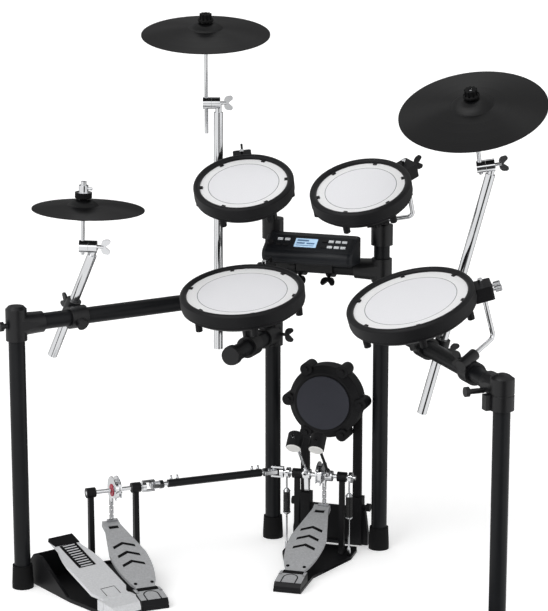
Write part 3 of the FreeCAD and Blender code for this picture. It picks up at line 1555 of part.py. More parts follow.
def hihat_footboard():
    """Hi-hat footboard with a hinge barrel, a toe cap and grip bars in a recess."""
    wide = hihat_board_width / 2
    toe = hihat_board_toe_width / 2
    inner = hihat_heel_width / 2 - heel_thickness - fit_gap
    low = -hihat_board_thickness / 2
    start = hinge_slack + heel_thickness
    flank = hihat_board_length * 0.55
    shoulder = hihat_board_length * 0.82
    bulge = (wide + toe) / 2
    plate = extruded([(inner, 0), (inner, start), (wide, 2 * start), (wide, flank),
                      (bulge + footboard_rib_width / 4, (flank + shoulder) / 2, toe, shoulder),
                      (toe, hihat_board_length), (-toe, hihat_board_length), (-toe, shoulder),
                      (-bulge - footboard_rib_width / 4, (flank + shoulder) / 2, -wide, flank),
                      (-wide, 2 * start), (-inner, start), (-inner, 0)], plan, V(0, 0, hihat_board_thickness))
    plate.translate(V(0, 0, low))
    barrel = bar(V(-inner, 0, 0), V(inner, 0, 0), pedal_hinge_diameter + heel_thickness)
    top = -low
    half = hihat_recess_width / 2
    first, last = [hihat_board_length * share for share in hihat_recess_shares]
    recess = block(V(-half, first, top - hihat_recess_depth), V(half, last, top))
    pitch = (last - first) / hihat_bar_count
    reach = half - hihat_recess_depth
    bars = []
    for index in range(hihat_bar_count):
        at = first + pitch * (index + hihat_bar_share / 2)
        bars.append(block(V(-reach, at, 0), V(reach, at + pitch * hihat_bar_share, top + hihat_bar_proud)))
    cap = block(V(-toe, hihat_board_length * hihat_toe_cap_share, 0),
                V(toe, hihat_board_length, top + hihat_toe_cap_height))
    pin_bore = bar(V(-inner, 0, 0), V(inner, 0, 0), pedal_hinge_diameter + 2 * shaft_gap)
    return put(join(plate.cut(recess), barrel, cap, *bars).cut(pin_bore), hihat_board_place)


# The whole kit


def rack_nodes():
    crossbar_level = V(0, 0, crossbar_height)
    crossbar_way = V(1, 0, 0)
    snare_tube = pipe(snare_level + snare_arm_direction * (arm_setback + fit_gap),
                      snare_level + snare_arm_direction * snare_arm_reach, rack_tube_diameter, rack_tube_wall)
    middle_joint = tee_joint(joint_sleeve_half, joint_sleeve_half, 0)
    left_corner_at = joint_at(corner_joint(), left_leg, left_arm_height, -left_wing_direction)
    right_corner_at = joint_at(band_clamp(), right_leg, right_arm_height, -right_wing_direction)
    left_level = left_post + V(0, 0, left_arm_height)
    snare_end = snare_level + snare_arm_direction * snare_arm_reach
    return {
        "center_tubes": [leg_pipe(left_post, post_height), leg_pipe(right_post, post_height),
                         arm_pipe(left_post, crossbar_way, post_spacing, crossbar_height), snare_tube],
        "center_clamps": [joint_at(middle_joint, left_post, crossbar_level.z, crossbar_way),
                          joint_at(middle_joint, right_post, crossbar_level.z, -crossbar_way),
                          joint_at(snare_clamp(), left_post, snare_arm_height, snare_arm_direction),
                          ribbed_end_cap(snare_end, snare_arm_direction),
                          tom_1.holder(left_post + tom_holder_level, up, True),
                          tom_2.holder(right_post + tom_holder_level, up, True),
                          snare.holder(snare_holder_point, snare_arm_direction)],
        "center_feet": [rack_foot(left_post), rack_foot(right_post)],
        "left_tubes": [arm_pipe(left_post, left_wing_direction, left_wing_reach, left_arm_height),
                       leg_pipe(left_leg, left_arm_height + corner_above - corner_cap - fit_gap)],
        "left_clamps": [joint_at(middle_joint, left_post, left_arm_height, left_wing_direction),
                        left_corner_at,
                        boom_clamp(left_level, left_wing_direction, hihat.boom_low, hihat.boom_top),
                        boom_clamp(left_level, left_wing_direction, crash.boom_low, crash.boom_top)],
        "left_foot": [rack_foot(left_leg)],
        "right_tubes": [arm_pipe(right_post, right_wing_direction, right_wing_reach, right_arm_height),
                        leg_pipe(right_leg, right_arm_height + band_above - joint_wall - fit_gap)],
        "right_clamps": [joint_at(middle_joint, right_post, right_arm_height, right_wing_direction),
                         right_corner_at,
                         boom_clamp(right_arm_level, right_wing_direction, ride.boom_low, ride.boom_top),
                         floor_tom.holder(floor_tom_holder_point, right_wing_direction)],
        "right_foot": [rack_foot(right_leg)],
    }


def pad_nodes():
    nodes = {}
    for name, pad in (("snare", snare), ("tom_1", tom_1), ("tom_2", tom_2), ("floor_tom", floor_tom)):
        nodes[name + "_shell"] = pad.shell()
        nodes[name + "_hoop"] = [pad.hoop()]
        nodes[name + "_head"] = [pad.head()]
        nodes[name + "_rod"] = [pad.rod()]
    return nodes


def cymbal_nodes():
    nodes = {}
    for name, cymbal in (("hihat", hihat), ("crash", crash), ("ride", ride)):
        nodes[name + "_boom"] = [cymbal.boom()]
        nodes[name + "_rod"] = [cymbal.rod_assembly(), cymbal.top_nut()]
        nodes[name + "_cymbal"] = [cymbal.disc()]
    return nodes


def module_nodes():
    return {"module_case": [module_case()], "module_screen": [module_screen()], "module_keys": module_keys(),
            "module_knob": [volume_knob()], "module_bracket": [module_bracket()]}


def pedal_nodes():
    half = pedal_post_spacing / 2
    both = (kick_place_floor, slave_place_floor)
    nodes = {
        "kick_pad_housing": [kick_housing()],
        "kick_pad_face": [kick_face()],
        "kick_stand": [kick_stand()],
        "pedal_base_plates": [put(pedal_base(), place) for place in both],
        "pedal_posts": [put(pedal_post(x), place) for place in both for x in (-half, half)],
        "heel_plates": [put(heel_plate(), place) for place in both] + [put(hihat_heel(), hihat_place_floor)],
        "hihat_pedal_base": [put(hihat_pedal_base(), hihat_place_floor)],
        "hihat_footboard": [put(hihat_footboard(), hihat_place_floor)],
        "return_springs": [put(piece, kick_place_floor) for x in (-rocker_place, rocker_place)
                           for piece in return_spring(x)],
        "right_spring_hook": [put(spring_hook(rocker_place), kick_place_floor)],
        "left_spring_hook": [put(spring_hook(-rocker_place), kick_place_floor)],
        "kick_footboard": [put(footboard(), kick_place_floor)],
        "kick_axle": [put(kick_axle(), kick_place_floor)],
        "right_beater": [put(piece, kick_place_floor) for piece in beater(right_hub_place)],
        "kick_chain": [put(chain(), kick_place_floor)],
        "slave_footboard": [put(footboard(), slave_place_floor)],
        "slave_axle": [put(slave_axle(), slave_place_floor)],
        "slave_chain": [put(chain(), slave_place_floor)],
        "drive_shaft": [drive_shaft()],
        "left_beater_axle": [put(left_beater_axle(), kick_place_floor)],
        "left_beater": [put(piece, kick_place_floor) for piece in beater(left_hub_place)],
    }
    return nodes


def kit_nodes():
    nodes = {}
    for group in (rack_nodes(), pad_nodes(), cymbal_nodes(), module_nodes(), pedal_nodes()):
        nodes.update(group)
    return nodes


def floor_centre(nodes):
    box = FreeCAD.BoundBox()
    for solids in nodes.values():
        for solid in solids:
            box.add(solid.optimalBoundingBox())
    return V((box.XMin + box.XMax) / 2, (box.YMin + box.YMax) / 2, box.ZMin)


def main():
    os.makedirs("parts", exist_ok=True)
    nodes = kit_nodes()
    origin = floor_centre(nodes)
    print("origin", origin)
    print("spring self gap", round(spring_self_gap(), 3))
    for name, solids in nodes.items():
        whole = Part.Compound(solids) if len(solids) > 1 else solids[0]
        whole.translate(-origin)
        whole.exportStep("parts/" + name + ".step")


if __name__ == "__main__":
    main()
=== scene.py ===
"""Looks of an electronic drum kit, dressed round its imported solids."""

import json
import logging
import math
from collections.abc import Callable
from dataclasses import dataclass
from enum import Enum
from typing import Any

import bmesh
import bpy
from mathutils import Matrix, Vector


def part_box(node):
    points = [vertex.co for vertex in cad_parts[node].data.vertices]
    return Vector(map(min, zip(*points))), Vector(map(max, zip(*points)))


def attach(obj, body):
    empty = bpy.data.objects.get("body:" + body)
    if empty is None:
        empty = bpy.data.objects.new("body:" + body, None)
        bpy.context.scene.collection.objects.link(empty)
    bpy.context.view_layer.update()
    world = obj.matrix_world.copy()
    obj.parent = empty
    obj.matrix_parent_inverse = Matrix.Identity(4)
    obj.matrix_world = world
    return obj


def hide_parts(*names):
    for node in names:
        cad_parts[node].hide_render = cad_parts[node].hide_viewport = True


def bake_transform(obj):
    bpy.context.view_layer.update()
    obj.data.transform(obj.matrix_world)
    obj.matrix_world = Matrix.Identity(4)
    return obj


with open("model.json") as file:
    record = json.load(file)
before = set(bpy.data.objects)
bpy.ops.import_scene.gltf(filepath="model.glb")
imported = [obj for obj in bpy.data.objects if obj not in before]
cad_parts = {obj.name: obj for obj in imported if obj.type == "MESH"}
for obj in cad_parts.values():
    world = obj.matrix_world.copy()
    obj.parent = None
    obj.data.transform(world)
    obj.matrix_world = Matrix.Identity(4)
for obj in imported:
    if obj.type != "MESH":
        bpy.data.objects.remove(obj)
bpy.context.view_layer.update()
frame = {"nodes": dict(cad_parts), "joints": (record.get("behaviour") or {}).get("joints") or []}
LOG = logging.getLogger("drum_kit")

MM = 0.001
UP = Vector((0, 0, 1))
WHITE = (1.0, 1.0, 1.0, 1.0)
# Corners this close are one corner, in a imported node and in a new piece.
NODE_WELD_MM = 0.02
PIECE_WELD_MM = 0.001
# Finer layers in the noise of a grain and of a mottle, and rays that feel for an edge to soften.
GRAIN_DETAIL = 2.0
MOTTLE_DETAIL = 3.0
EDGE_SAMPLES = 4

Tree = bpy.types.NodeTree
Node = bpy.types.Node
Socket = bpy.types.NodeSocket
Builder = bmesh.types.BMesh
Corner = bmesh.types.BMVert
Triple = tuple[float, float, float]
Profile = list[tuple[float, float]]
Shares = tuple[tuple[float, float], ...]


class Pads(Enum):
    """The four drum pads, by the first part of their nodes' names."""

    SNARE = "snare"
    TOM_1 = "tom_1"
    TOM_2 = "tom_2"
    FLOOR_TOM = "floor_tom"


class Cymbals(Enum):
    """The three cymbals, by the first part of their nodes' names."""

    HIHAT = "hihat"
    CRASH = "crash"
    RIDE = "ride"


class Pedals(Enum):
    """The three footboards, by the first part of their nodes' names."""

    KICK = "kick"
    SLAVE = "slave"
    HIHAT = "hihat"


class Side(Enum):
    """The two return springs, by the first part of their bodies' names."""

    LEFT = "left"
    RIGHT = "right"


def linear(colour: str) -> tuple[float, float, float, float]:
    """Turn an sRGB hex colour into linear values.

    Args:
        colour: Six hex digits with a leading hash.

    Returns:
        Linear red, green, blue and an alpha of 1.
    """
    values = [int(colour[i : i + 2], 16) / 255 for i in (1, 3, 5)]
    red, green, blue = (v / 12.92 if v <= 0.04045 else ((v + 0.055) / 1.055) ** 2.4 for v in values)
    return red, green, blue, 1.0


def add_node(tree: Tree, kind: str, inputs: dict[Any, Any], **settings: Any) -> Node:
    """Add a node, set its properties and fill or link its inputs.

    Args:
        tree: The node tree that gets the node.
        kind: Blender's name for the node's type.
        inputs: Values or output sockets, by input name or number.
        settings: Properties of the node itself.

    Returns:
        The new node.
    """
    node = tree.nodes.new(kind)
    for name, value in settings.items():
        setattr(node, name, value)
    for key, value in inputs.items():
        if isinstance(value, Socket):
            tree.links.new(value, node.inputs[key])
        else:
            node.inputs[key].default_value = value
    return node


# Finishes


@dataclass(frozen=True)
class Finish:
    """A surface: colour and gloss with a fine grain and a slow mottle over it.

    The grain is a noise whose size is the real one in millimetres. Edges are softened in the shading,
    as a moulded or cast edge is.
    """

    name: str
    colour: str
    roughness: float
    grain_mm: float
    grain_depth_mm: float
    metallic: float = 0.0
    mottle_mm: float = 60.0
    mottle: float = 0.25
    edge_mm: float = 0.8
    specular: float = 0.5
    sheen: float = 0.0

    def material(self) -> bpy.types.Material:
        """Make the Blender material of this finish, on first use only.

        Returns:
            The material.
        """
        known = bpy.data.materials.get(self.name)
        if known is not None:
            return known
        made = bpy.data.materials.new(self.name)
        made.use_nodes = True
        tree = made.node_tree
        shader = tree.nodes["Principled BSDF"]
        shader.inputs["Base Color"].default_value = linear(self.colour)
        shader.inputs["Roughness"].default_value = self.roughness
        shader.inputs["Metallic"].default_value = self.metallic
        shader.inputs["Specular IOR Level"].default_value = self.specular
        shader.inputs["Sheen Weight"].default_value = self.sheen
        place = add_node(tree, "ShaderNodeTexCoord", {})
        self.paint(tree, shader, place.outputs["Object"])
        return made

    def paint(self, tree: Tree, shader: Node, place: Socket) -> None:
        """Add the grain, the mottle and the softened edges.

        Args:
            tree: The material's node tree.
            shader: Its main shader.
            place: Positions on the piece, in metres.
        """
        self.mottled(tree, shader, place)
        size = 1 / (self.grain_mm * MM)
        grain = add_node(tree, "ShaderNodeTexNoise", {"Vector": place, "Scale": size, "Detail": GRAIN_DETAIL})
        self.relief(tree, shader, grain.outputs["Fac"])

    def mottled(self, tree: Tree, shader: Node, place: Socket) -> None:
        """Vary colour and gloss slowly over the surface.

        Args:
            tree: The material's node tree.
            shader: Its main shader.
            place: Positions on the piece, in metres.
        """
        size = 1 / (self.mottle_mm * MM)
        slow = add_node(tree, "ShaderNodeTexNoise", {"Vector": place, "Scale": size, "Detail": MOTTLE_DETAIL})
        self.tinted(tree, shader, slow.outputs["Fac"], self.mottle)
        least = self.roughness * (1 - self.mottle / 2)
        most = min(1.0, self.roughness * (1 + self.mottle / 2))
        span = {"Value": slow.outputs["Fac"], "To Min": least, "To Max": most}
        gloss = add_node(tree, "ShaderNodeMapRange", span)
        tree.links.new(gloss.outputs["Result"], shader.inputs["Roughness"])

    def tinted(self, tree: Tree, shader: Node, pattern: Socket, lift: float) -> None:
        """Let a pattern shade the colour, down by the mottle's share.

        Args:
            tree: The material's node tree.
            shader: Its main shader.
            pattern: The pattern, from 0 to 1.
            lift: The share by which its high spots are lighter than the colour.
        """
        tones = {"Factor": pattern, "A": self.shaded(-self.mottle), "B": self.shaded(lift)}
        shade = add_node(tree, "ShaderNodeMix", tones, data_type="RGBA")
        tree.links.new(shade.outputs["Result"], shader.inputs["Base Color"])

    def shaded(self, share: float) -> tuple[float, ...]:
        """Return the colour, lighter by a share of itself."""
        return tuple(min(1.0, c * (1 + share)) for c in linear(self.colour)[:3]) + (1.0,)

    def relief(self, tree: Tree, shader: Node, height: Socket) -> None:
        """Raise the surface by a pattern, over softened edges.

        Args:
            tree: The material's node tree.
            shader: Its main shader.
            height: The pattern, from 0 to 1.
        """
        soft = add_node(tree, "ShaderNodeBevel", {"Radius": self.edge_mm * MM}, samples=EDGE_SAMPLES)
        rise = {
            "Height": height,
            "Distance": self.grain_depth_mm * MM,
            "Strength": 1.0,
            "Normal": soft.outputs["Normal"],
        }
        bump = add_node(tree, "ShaderNodeBump", rise)
        tree.links.new(bump.outputs["Normal"], shader.inputs["Normal"])


@dataclass(frozen=True)
class Woven(Finish):
    """Open mesh of crossing threads; the weave is drawn three times coarser than the real one, to show."""

    thread_mm: float = 1.2
    across: Triple = (1.0, 0.0, 0.0)
    along: Triple = (0.0, 1.0, 0.0)

    def paint(self, tree: Tree, shader: Node, place: Socket) -> None:
        """Weave two sets of threads and let their hollows shade the colour.

        Args:
            tree: The material's node tree.
            shader: Its main shader.
            place: Positions on the piece, in metres.
        """
        pitch = math.tau / (self.thread_mm * MM)
        threads = []
        for way in (self.across, self.along):
            run = add_node(tree, "ShaderNodeVectorMath", {0: place, 1: way}, operation="DOT_PRODUCT")
            turn = add_node(tree, "ShaderNodeMath", {0: run.outputs["Value"], 1: pitch}, operation="MULTIPLY")
            wave = add_node(tree, "ShaderNodeMath", {0: turn.outputs[0]}, operation="SINE")
            threads.append(wave.outputs[0])
        cross = add_node(tree, "ShaderNodeMath", {0: threads[0], 1: threads[1]}, operation="MAXIMUM")
        weave = add_node(tree, "ShaderNodeMapRange", {"Value": cross.outputs[0], "From Min": -1.0})
        self.tinted(tree, shader, weave.outputs["Result"], 0.0)
        self.relief(tree, shader, weave.outputs["Result"])


@dataclass(frozen=True)
class Ridged(Finish):
    """Rubber with fine rings turned into it round one axis, which fan its highlights out along a radius."""

    centre: Triple = (0.0, 0.0, 0.0)
    axis: Triple = (0.0, 0.0, 1.0)
    ring_mm: float = 3.0
    ring_share: float = 0.35
    fan: float = 0.0

    def paint(self, tree: Tree, shader: Node, place: Socket) -> None:
        """Cut rings by the distance from the axis, with the grain on top.

        Args:
            tree: The material's node tree.
            shader: Its main shader.
            place: Positions on the piece, in metres.
        """
        self.mottled(tree, shader, place)
        arm = add_node(tree, "ShaderNodeVectorMath", {0: place, 1: self.centre}, operation="SUBTRACT")
        pair = {0: arm.outputs["Vector"], 1: self.axis}
        side = add_node(tree, "ShaderNodeVectorMath", pair, operation="CROSS_PRODUCT")
        grooves = add_node(
            tree,
            "ShaderNodeVectorTransform",
            {"Vector": side.outputs["Vector"]},
            vector_type="VECTOR",
            convert_from="OBJECT",
            convert_to="WORLD",
        )
        shader.inputs["Anisotropic"].default_value = self.fan
        tree.links.new(grooves.outputs["Vector"], shader.inputs["Tangent"])
        reach = add_node(tree, "ShaderNodeVectorMath", {0: side.outputs["Vector"]}, operation="LENGTH")
        pitch = math.tau / (self.ring_mm * MM)
        turn = add_node(tree, "ShaderNodeMath", {0: reach.outputs["Value"], 1: pitch}, operation="MULTIPLY")
        rings = add_node(tree, "ShaderNodeMath", {0: turn.outputs[0]}, operation="SINE")
        size = 1 / (self.grain_mm * MM)
        grain = add_node(tree, "ShaderNodeTexNoise", {"Vector": place, "Scale": size, "Detail": GRAIN_DETAIL})
        sums = {0: rings.outputs[0], 1: self.ring_share, 2: grain.outputs["Fac"]}
        both = add_node(tree, "ShaderNodeMath", sums, operation="MULTIPLY_ADD")
        self.relief(tree, shader, both.outputs[0])


@dataclass(frozen=True)
class Lit(Finish):
    """A translucent face with a lamp behind it."""

    glow: float = 0.6

    def paint(self, tree: Tree, shader: Node, place: Socket) -> None:
        """Add the lamp's even glow to the plain finish.

        Args:
            tree: The material's node tree.
            shader: Its main shader.
            place: Positions on the piece, in metres.
        """
        super().paint(tree, shader, place)
        shader.inputs["Emission Color"].default_value = linear(self.colour)
        shader.inputs["Emission Strength"].default_value = self.glow


# Powder-coated steel pipe: satin black with the orange peel of baked powder.
PIPE_COAT = Finish("powder_coated_steel", "#18191B", 0.34, 1.6, 0.03, specular=0.18)
# Glass-filled nylon, moulded: dull black with a spark-eroded grain.
CLAMP_NYLON = Finish("moulded_nylon", "#121214", 0.36, 0.9, 0.04, specular=0.4)
# Moulded rubber of the feet and cymbal nuts: dusty matte black.
FOOT_RUBBER = Finish("moulded_rubber_feet", "#0F0F10", 0.7, 1.4, 0.06, specular=0.14)
# Natural rubber hoop cover: soft matte black that catches a broad pale sheen on its crown.
HOOP_RUBBER = Finish("rubber_hoop_cover", "#131315", 0.48, 1.0, 0.04, specular=0.18, sheen=0.05)
# ABS shell, moulded: charcoal black, even and satin.
SHELL_ABS = Finish("moulded_abs_shell", "#131315", 0.46, 0.8, 0.03, specular=0.18)
# Chrome-plated steel: a mirror with faint smears.
CHROME = Finish("chrome_plated_steel", "#E2E3E5", 0.08, 4.0, 0.002, metallic=1.0, mottle=0.1, edge_mm=0.5)
# Bright zinc on the small steel parts: grey metal, duller than chrome.
ZINC = Finish("bright_zinc_steel", "#B9BABC", 0.24, 1.2, 0.01, metallic=1.0, mottle=0.2, edge_mm=0.3)
# Spring steel, blackened in hot oil: black, with a thin bright line along each turn.
SPRING_STEEL = Finish("oil_blackened_spring_steel", "#0E0E0F", 0.32, 0.8, 0.01, mottle=0.2, edge_mm=0.2)
# Sand-cast aluminium under silver paint: the footboards' gritty, mid-grey skin. Its grit is drawn
# about four times coarser than the real one, to show.
BOARD_ALLOY = Finish(
    "sand_cast_aluminium", "#B2B3B5", 0.5, 3.2, 0.4, metallic=0.3, mottle_mm=4.5, mottle=0.3
)
# Brighter silver paint of the hi-hat footboard, gritty for the shoe and drawn as coarse.
HIHAT_ALLOY = Finish(
    "silver_painted_aluminium", "#D8D9DB", 0.48, 3.2, 0.25, metallic=0.3, mottle_mm=4.5, mottle=0.15
)
# Black cast iron of the pedal posts, plates and stand, painted.
PEDAL_IRON = Finish("painted_cast_iron", "#111113", 0.46, 1.3, 0.06, specular=0.18)
# Black paint in the recesses of the footboards: dead flat; also painted shade, as the plate seen through each
# toe slot.
BLACK_PAINT_AND_SLOT_SHADE = Finish("black_paint_and_slot_shade", "#0B0B0C", 0.7, 0.9, 0.05, specular=0.15)
# Foam rubber of the kick pad's face: dark slate and quite dull.
KICK_RUBBER = Finish("foam_rubber_face", "#3B3C43", 0.75, 1.0, 0.05, mottle=0.1, specular=0.2)
# Pressed felt of a beater's rear face: white, fibrous and without gloss.
WHITE_FELT = Finish("pressed_white_felt", "#E6E5E2", 0.95, 0.6, 0.12, mottle=0.06, sheen=0.3)
# Rubber of a beater's head: smooth and black.
BEATER_RUBBER = Finish("moulded_rubber_beater", "#131315", 0.5, 0.9, 0.05, specular=0.2)
# ABS of the sound module, moulded: cool charcoal with a fine grain.
MODULE_ABS = Finish("moulded_abs_module", "#1A1C20", 0.42, 0.7, 0.03, specular=0.25)
# Silicone key caps, unlit: dark grey.
DARK_KEY = Finish("silicone_key", "#1A1A1C", 0.55, 0.6, 0.02, specular=0.3)
# Key caps with a white lamp behind.
LIT_KEY = Lit("lit_silicone_key", "#DCDFE2", 0.5, 0.6, 0.02, glow=0.2)
# Liquid crystal display, backlit pale blue, behind a clear window.
DISPLAY = Lit("backlit_display", "#B4D3EF", 0.14, 3.0, 0.0, mottle=0.1, glow=0.6)
# Darkened crystal of the display's segments.
DISPLAY_INK = Finish("display_segments", "#7FA8D2", 0.3, 1.0, 0.0)
# Red anodised aluminium disc of the cam: a clear red over bright metal.
CAM_RED = Finish("red_anodised_aluminium", "#B5364B", 0.35, 0.9, 0.01, metallic=0.6)


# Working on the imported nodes


@dataclass
class Patch:
    """One face of a node, as the dressing code sees it."""

    centre: Vector
    normal: Vector
    island: int


Test = Callable[[Patch], bool]


def islands_of(mesh: bpy.types.Mesh) -> list[int]:
    """Number the separate solids of a mesh.

    Args:
        mesh: A node's mesh, whose corners may not be joined.

    Returns:
        For each polygon the number of its solid, counted from the largest solid on.
    """
    roots: dict[tuple[int, ...], tuple[int, ...]] = {}

    def find(key: tuple[int, ...]) -> tuple[int, ...]:
        """Look up the leading corner of a corner's solid.

        Args:
            key: The corner.

        Returns:
            The leading corner.
        """
        while roots[key] != key:
            roots[key] = roots[roots[key]]
            key = roots[key]
        return key

    keys = [tuple(round(c / (NODE_WELD_MM * MM)) for c in v.co) for v in mesh.vertices]
    for key in keys:
        roots.setdefault(key, key)
    for polygon in mesh.polygons:
        first = find(keys[polygon.vertices[0]])
        for index in polygon.vertices[1:]:
            roots[find(keys[index])] = first
    leaders = [find(keys[p.vertices[0]]) for p in mesh.polygons]
    area: dict[tuple[int, ...], float] = {}
    for leader, polygon in zip(leaders, mesh.polygons):
        area[leader] = area.get(leader, 0.0) + polygon.area
    order = {leader: number for number, leader in enumerate(sorted(area, key=lambda k: -area[k]))}
    return [order[leader] for leader in leaders]


def node_object(name: str) -> bpy.types.Object:
    """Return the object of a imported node."""
    return frame["nodes"][name]


def corner_points(name: str) -> list[Vector]:
    """Return the corner points of a node at rest."""
    return [v.co.copy() for v in node_object(name).data.vertices]


def box_of(points: list[Vector]) -> tuple[Vector, ...]:
    """Return the lowest and the highest corner of the box round some points."""
    return tuple(Vector(pick(p[k] for p in points) for k in range(3)) for pick in (min, max))


def off_axis(arm: Vector, axis: Vector) -> float:
    """Return how far the end of an arm lies from the axis that the arm starts on."""
    return (arm - axis * arm.dot(axis)).length


def joint_line(name: str) -> tuple[Vector, Vector]:
    """Look up a point on a joint's axis and the axis's direction.

    Args:
        name: The joint.

    Returns:
        The point and the direction, at rest.
    """
    joint = next(j for j in frame["joints"] if j["name"] == name)
    return Vector(joint["pos_m"]), Vector(joint["axis"]).normalized()


def dress_node(name: str, finish: Finish, extra: tuple[tuple[Finish, Test], ...] = ()) -> None:
    """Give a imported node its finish, and other finishes to some of its faces.

    Args:
        name: The node.
        finish: The finish of the whole node.
        extra: Further finishes, each with a test of a face; a later one wins.
    """
    mesh = node_object(name).data
    mesh.materials.clear()
    mesh.materials.append(finish.material())
    for other, _ in extra:
        mesh.materials.append(other.material())
    numbers = islands_of(mesh) if extra else [0] * len(mesh.polygons)
    for polygon, number in zip(mesh.polygons, numbers):
        patch = Patch(polygon.center.copy(), polygon.normal.copy(), number)
        chosen = 0
        for index, (_, test) in enumerate(extra, 1):
            if test(patch):
                chosen = index
        polygon.material_index = chosen
    LOG.info("dressed %s with %s", name, finish.name)


# Building new pieces


def new_piece(name: str, body: str, finishes: list[Finish], builder: Builder) -> bpy.types.Object:
    """Make an object from a mesh under construction and let it ride on a body.

    Args:
        name: The piece's name.
        body: The body that carries it, or an empty name, which leaves the piece on no body.
        finishes: Its finishes, in the order of its faces' material numbers.
        builder: The mesh, which is used up.

    Returns:
        The new object.
    """
    mesh = bpy.data.meshes.new(name)
    bmesh.ops.remove_doubles(builder, verts=builder.verts[:], dist=PIECE_WELD_MM * MM)
    bmesh.ops.recalc_face_normals(builder, faces=builder.faces[:])
    builder.to_mesh(mesh)
    builder.free()
    for finish in finishes:
        mesh.materials.append(finish.material())
    made = bpy.data.objects.new(name, mesh)
    bpy.context.scene.collection.objects.link(made)
    if body:
        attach(made, body)
    LOG.info("built %s", name)
    return made


def axes_to(z_axis: Vector, origin: Vector) -> Matrix:
    """Place a local frame with its Z along a direction.

    Args:
        z_axis: The direction.
        origin: Where the frame's origin goes.

    Returns:
        The frame's matrix.
    """
    turn = UP.rotation_difference(z_axis.normalized()).to_matrix().to_4x4()
    return Matrix.Translation(origin) @ turn


def circle(builder: Builder, place: Matrix, radius: float, height: float, steps: int) -> list[Corner]:
    """Set corners round a frame's Z axis.

    Args:
        builder: The mesh under construction.
        place: The frame.
        radius: Their distance from the axis; at 0 there is one corner.
        height: Their height along the axis.
        steps: Their number.

    Returns:
        The corners.
    """
    turns = [math.tau * step / steps for step in range(steps if radius > 0 else 1)]
    spots = [Vector((radius * math.cos(turn), radius * math.sin(turn), height)) for turn in turns]
    return [builder.verts.new(place @ spot) for spot in spots]


def bridge(
    builder: Builder, low: list[Corner], high: list[Corner], index: int = 0, smooth: bool = True
) -> None:
    """Join two loops of corners with a ring of faces; one of them may be a single corner.

    Args:
        builder: The mesh under construction.
        low: The first loop.
        high: The second loop.
        index: Material number of the faces.
        smooth: Whether they shade as one round surface.
    """
    steps = max(len(low), len(high))
    for step in range(steps):
        after = (step + 1) % steps
        ring = [low[step % len(low)], low[after % len(low)], high[after % len(high)], high[step % len(high)]]
        face = builder.faces.new(list(dict.fromkeys(ring)))
        face.material_index = index
        face.smooth = smooth


def scaled(shares: Shares, radius: float, height: float) -> Profile:
    """Return a profile that is given in shares, at its real radius and height."""
    return [(radius * across, height * up) for across, up in shares]


def turned(builder: Builder, profile: Profile, place: Matrix, steps: int) -> None:
    """Turn a profile round a frame's Z axis into a mesh.

    Args:
        builder: The mesh under construction.
        profile: Radius and height of each step, in metres; a radius of 0 closes an end.
        place: The frame.
        steps: Faces round the turn.
    """
    loops = [circle(builder, place, radius, height, steps) for radius, height in profile]
    for low, high in zip(loops, loops[1:]):
        bridge(builder, low, high)


def slab(builder: Builder, corner: Vector, sides: tuple[Vector, Vector, Vector]) -> None:
    """Build a box from a corner and its three edges.

    Args:
        builder: The mesh under construction.
        corner: One corner.
        sides: The edges that leave it.
    """
    picks = [(x, y, z) for z in (0, 1) for y in (0, 1) for x in (0, 1)]
    spots = [corner + sides[0] * x + sides[1] * y + sides[2] * z for x, y, z in picks]
    verts = [builder.verts.new(spot) for spot in spots]
    for ring in ((0, 1, 3, 2), (4, 5, 7, 6), (0, 1, 5, 4), (2, 3, 7, 6), (0, 2, 6, 4), (1, 3, 7, 5)):
        builder.faces.new([verts[i] for i in ring])


def ribbon(builder: Builder, path: list[Vector], out: Vector, width: float, height: float) -> None:
    """Lay a flat strip along a path on a plane.

    Args:
        builder: The mesh under construction.
        path: Points of the strip's middle line.
        out: The plane's facing.
        width: The strip's width.
        height: How far it stands out of the plane.
    """
    before: list[Corner] = []
    for number, spot in enumerate(path):
        run = path[min(number + 1, len(path) - 1)] - path[max(number - 1, 0)]
        side = out.cross(run).normalized() * width / 2
        lift = out * height
        ring = (spot - side, spot + side, spot + side + lift, spot - side + lift)
        loop = [builder.verts.new(corner) for corner in ring]
        if before:
            bridge(builder, before, loop, smooth=False)
        if number in (0, len(path) - 1):
            builder.faces.new(loop)
        before = loop


